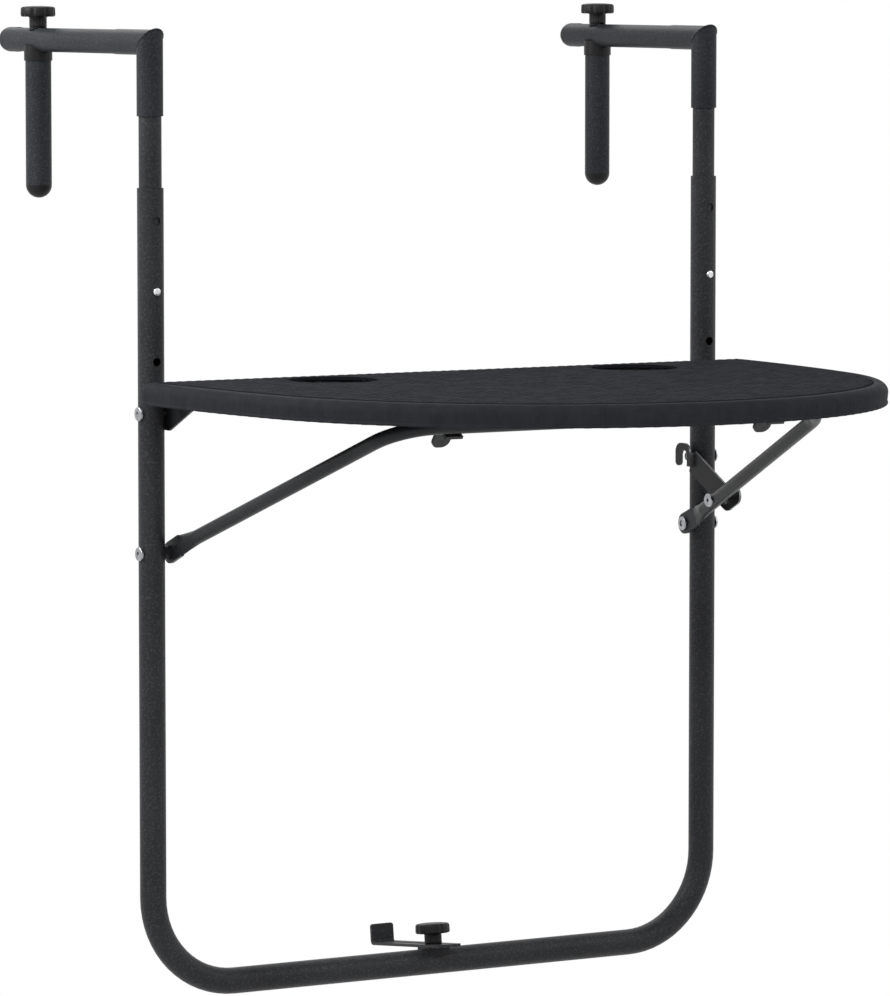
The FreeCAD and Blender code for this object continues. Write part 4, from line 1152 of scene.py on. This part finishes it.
@dataclass(frozen=True)
class Lamp:
    """Soft square lamp that points at the object's middle; its size in metres, power in watts."""

    name: str
    place: Triple
    size: float
    power: float
    target: Triple = (0.0, -0.1, -0.35)

    def hang(self) -> None:
        """Puts the lamp in the scene."""
        data = bpy.data.lights.new(self.name, "AREA")
        data.size = self.size
        data.energy = self.power
        lamp = add_object(self.name, data)
        lamp.location = self.place
        aim = Vector(self.target) - Vector(self.place)
        lamp.rotation_euler = aim.to_track_quat("-Z", "Y").to_euler()


@dataclass
class Studio:
    """Pale floor, even sky, soft lamps and the camera at the photograph's place."""

    camera_place: Triple = (-2.6555, -4.4512, 0.0816)
    azimuth: float = math.radians(-30.92)
    elevation: float = math.radians(5.06)
    lens: float = 221.5
    sensor: float = 36.0
    clip: Pair = (0.1, 200.0)
    floor_z: float = -0.80
    floor_size: float = 60.0
    floor_colour: Triple = (0.86, 0.86, 0.86)
    sky: float = 0.45
    horizon: float = 0.22
    sky_span: Pair = (0.0, 0.8)
    lamps: tuple[Lamp, ...] = (
        Lamp("key", (-2.2, -2.6, 2.4), 1.8, 66.0),
        Lamp("fill", (2.6, -2.0, 1.2), 2.2, 25.0),
        Lamp("rim", (0.6, 2.8, 2.0), 1.6, 15.0),
        Lamp("side", (-1.0, 0.32, 0.36), 0.5, 8.5),
    )

    def build_camera(self) -> None:
        """Camera that frames the object as the photograph does."""
        data = bpy.data.cameras.new("camera")
        data.lens = self.lens
        data.sensor_width = self.sensor
        data.clip_start, data.clip_end = self.clip
        camera = add_object("camera", data)
        back = Vector((math.sin(self.azimuth) * math.cos(self.elevation),
                       -math.cos(self.azimuth) * math.cos(self.elevation),
                       math.sin(self.elevation)))
        camera.location = self.camera_place
        camera.rotation_mode = "QUATERNION"
        camera.rotation_quaternion = (-back).to_track_quat("-Z", "Y")
        bpy.context.scene.camera = camera

    def _white_to_the_eye(self, graph: NodeGraph, shader: Socket, white: Socket) -> Socket:
        """Puts plain white where the camera looks at a surface directly or in a mirror.

        Args:
            graph: nodes of the floor or the sky.
            shader: what lights the object.
            white: what the camera sees.

        Returns:
            The mixed shader's socket.
        """
        path = graph.add("ShaderNodeLightPath")
        seen = graph.combine("MAXIMUM", path.outputs["Is Camera Ray"],
                             path.outputs["Is Transmission Ray"])
        mix = graph.add("ShaderNodeMixShader",
                        Fac=graph.combine("MAXIMUM", seen, path.outputs["Is Glossy Ray"]))
        graph.fill(mix.inputs[1], shader)
        graph.fill(mix.inputs[2], white)
        return mix.outputs["Shader"]

    def build_floor(self) -> None:
        """Plain pale floor under the hanging table."""
        mesh = bmesh.new()
        bmesh.ops.create_grid(mesh, x_segments=1, y_segments=1, size=self.floor_size / 2)
        bmesh.ops.translate(mesh, verts=mesh.verts, vec=(0.0, 0.0, self.floor_z))
        data = bpy.data.meshes.new("floor")
        mesh.to_mesh(data)
        mesh.free()
        floor = add_object("floor", data)
        material = bpy.data.materials.new("pale_floor")
        material.use_nodes = True
        graph = NodeGraph(material.node_tree)
        matt = graph.add("ShaderNodeBsdfDiffuse", Color=(*self.floor_colour, 1.0))
        glow = graph.add("ShaderNodeEmission", Strength=1.0)
        graph.add("ShaderNodeOutputMaterial", Surface=self._white_to_the_eye(
            graph, matt.outputs["BSDF"], glow.outputs["Emission"]))
        data.materials.append(material)

    def build_world(self) -> None:
        """Even sky that is white to the eye and softer as a light."""
        world = bpy.data.worlds.new("world")
        bpy.context.scene.world = world
        world.use_nodes = True
        graph = NodeGraph(world.node_tree)
        height = graph.ramp(graph.upward("Generated"), self.horizon, self.sky, self.sky_span)
        soft = graph.add("ShaderNodeBackground", Strength=height)
        white = graph.add("ShaderNodeBackground", Strength=1.0, Color=(1.0, 1.0, 1.0, 1.0))
        graph.add("ShaderNodeOutputWorld", Surface=self._white_to_the_eye(
            graph, soft.outputs["Background"], white.outputs["Background"]))

    def build(self) -> None:
        """Builds the studio."""
        bpy.context.scene.view_settings.view_transform = "Standard"
        self.build_camera()
        self.build_floor()
        self.build_world()
        for lamp in self.lamps:
            lamp.hang()


def main() -> None:
    """Builds the pieces in order."""
    logging.basicConfig(level=logging.INFO, format="%(message)s")
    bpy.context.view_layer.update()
    Studio().build()
    FoldingFrame().build()
    Hooks().build()
    BottomSpacer().build()
    WovenTop().build()


if __name__ == "__main__":
    main()
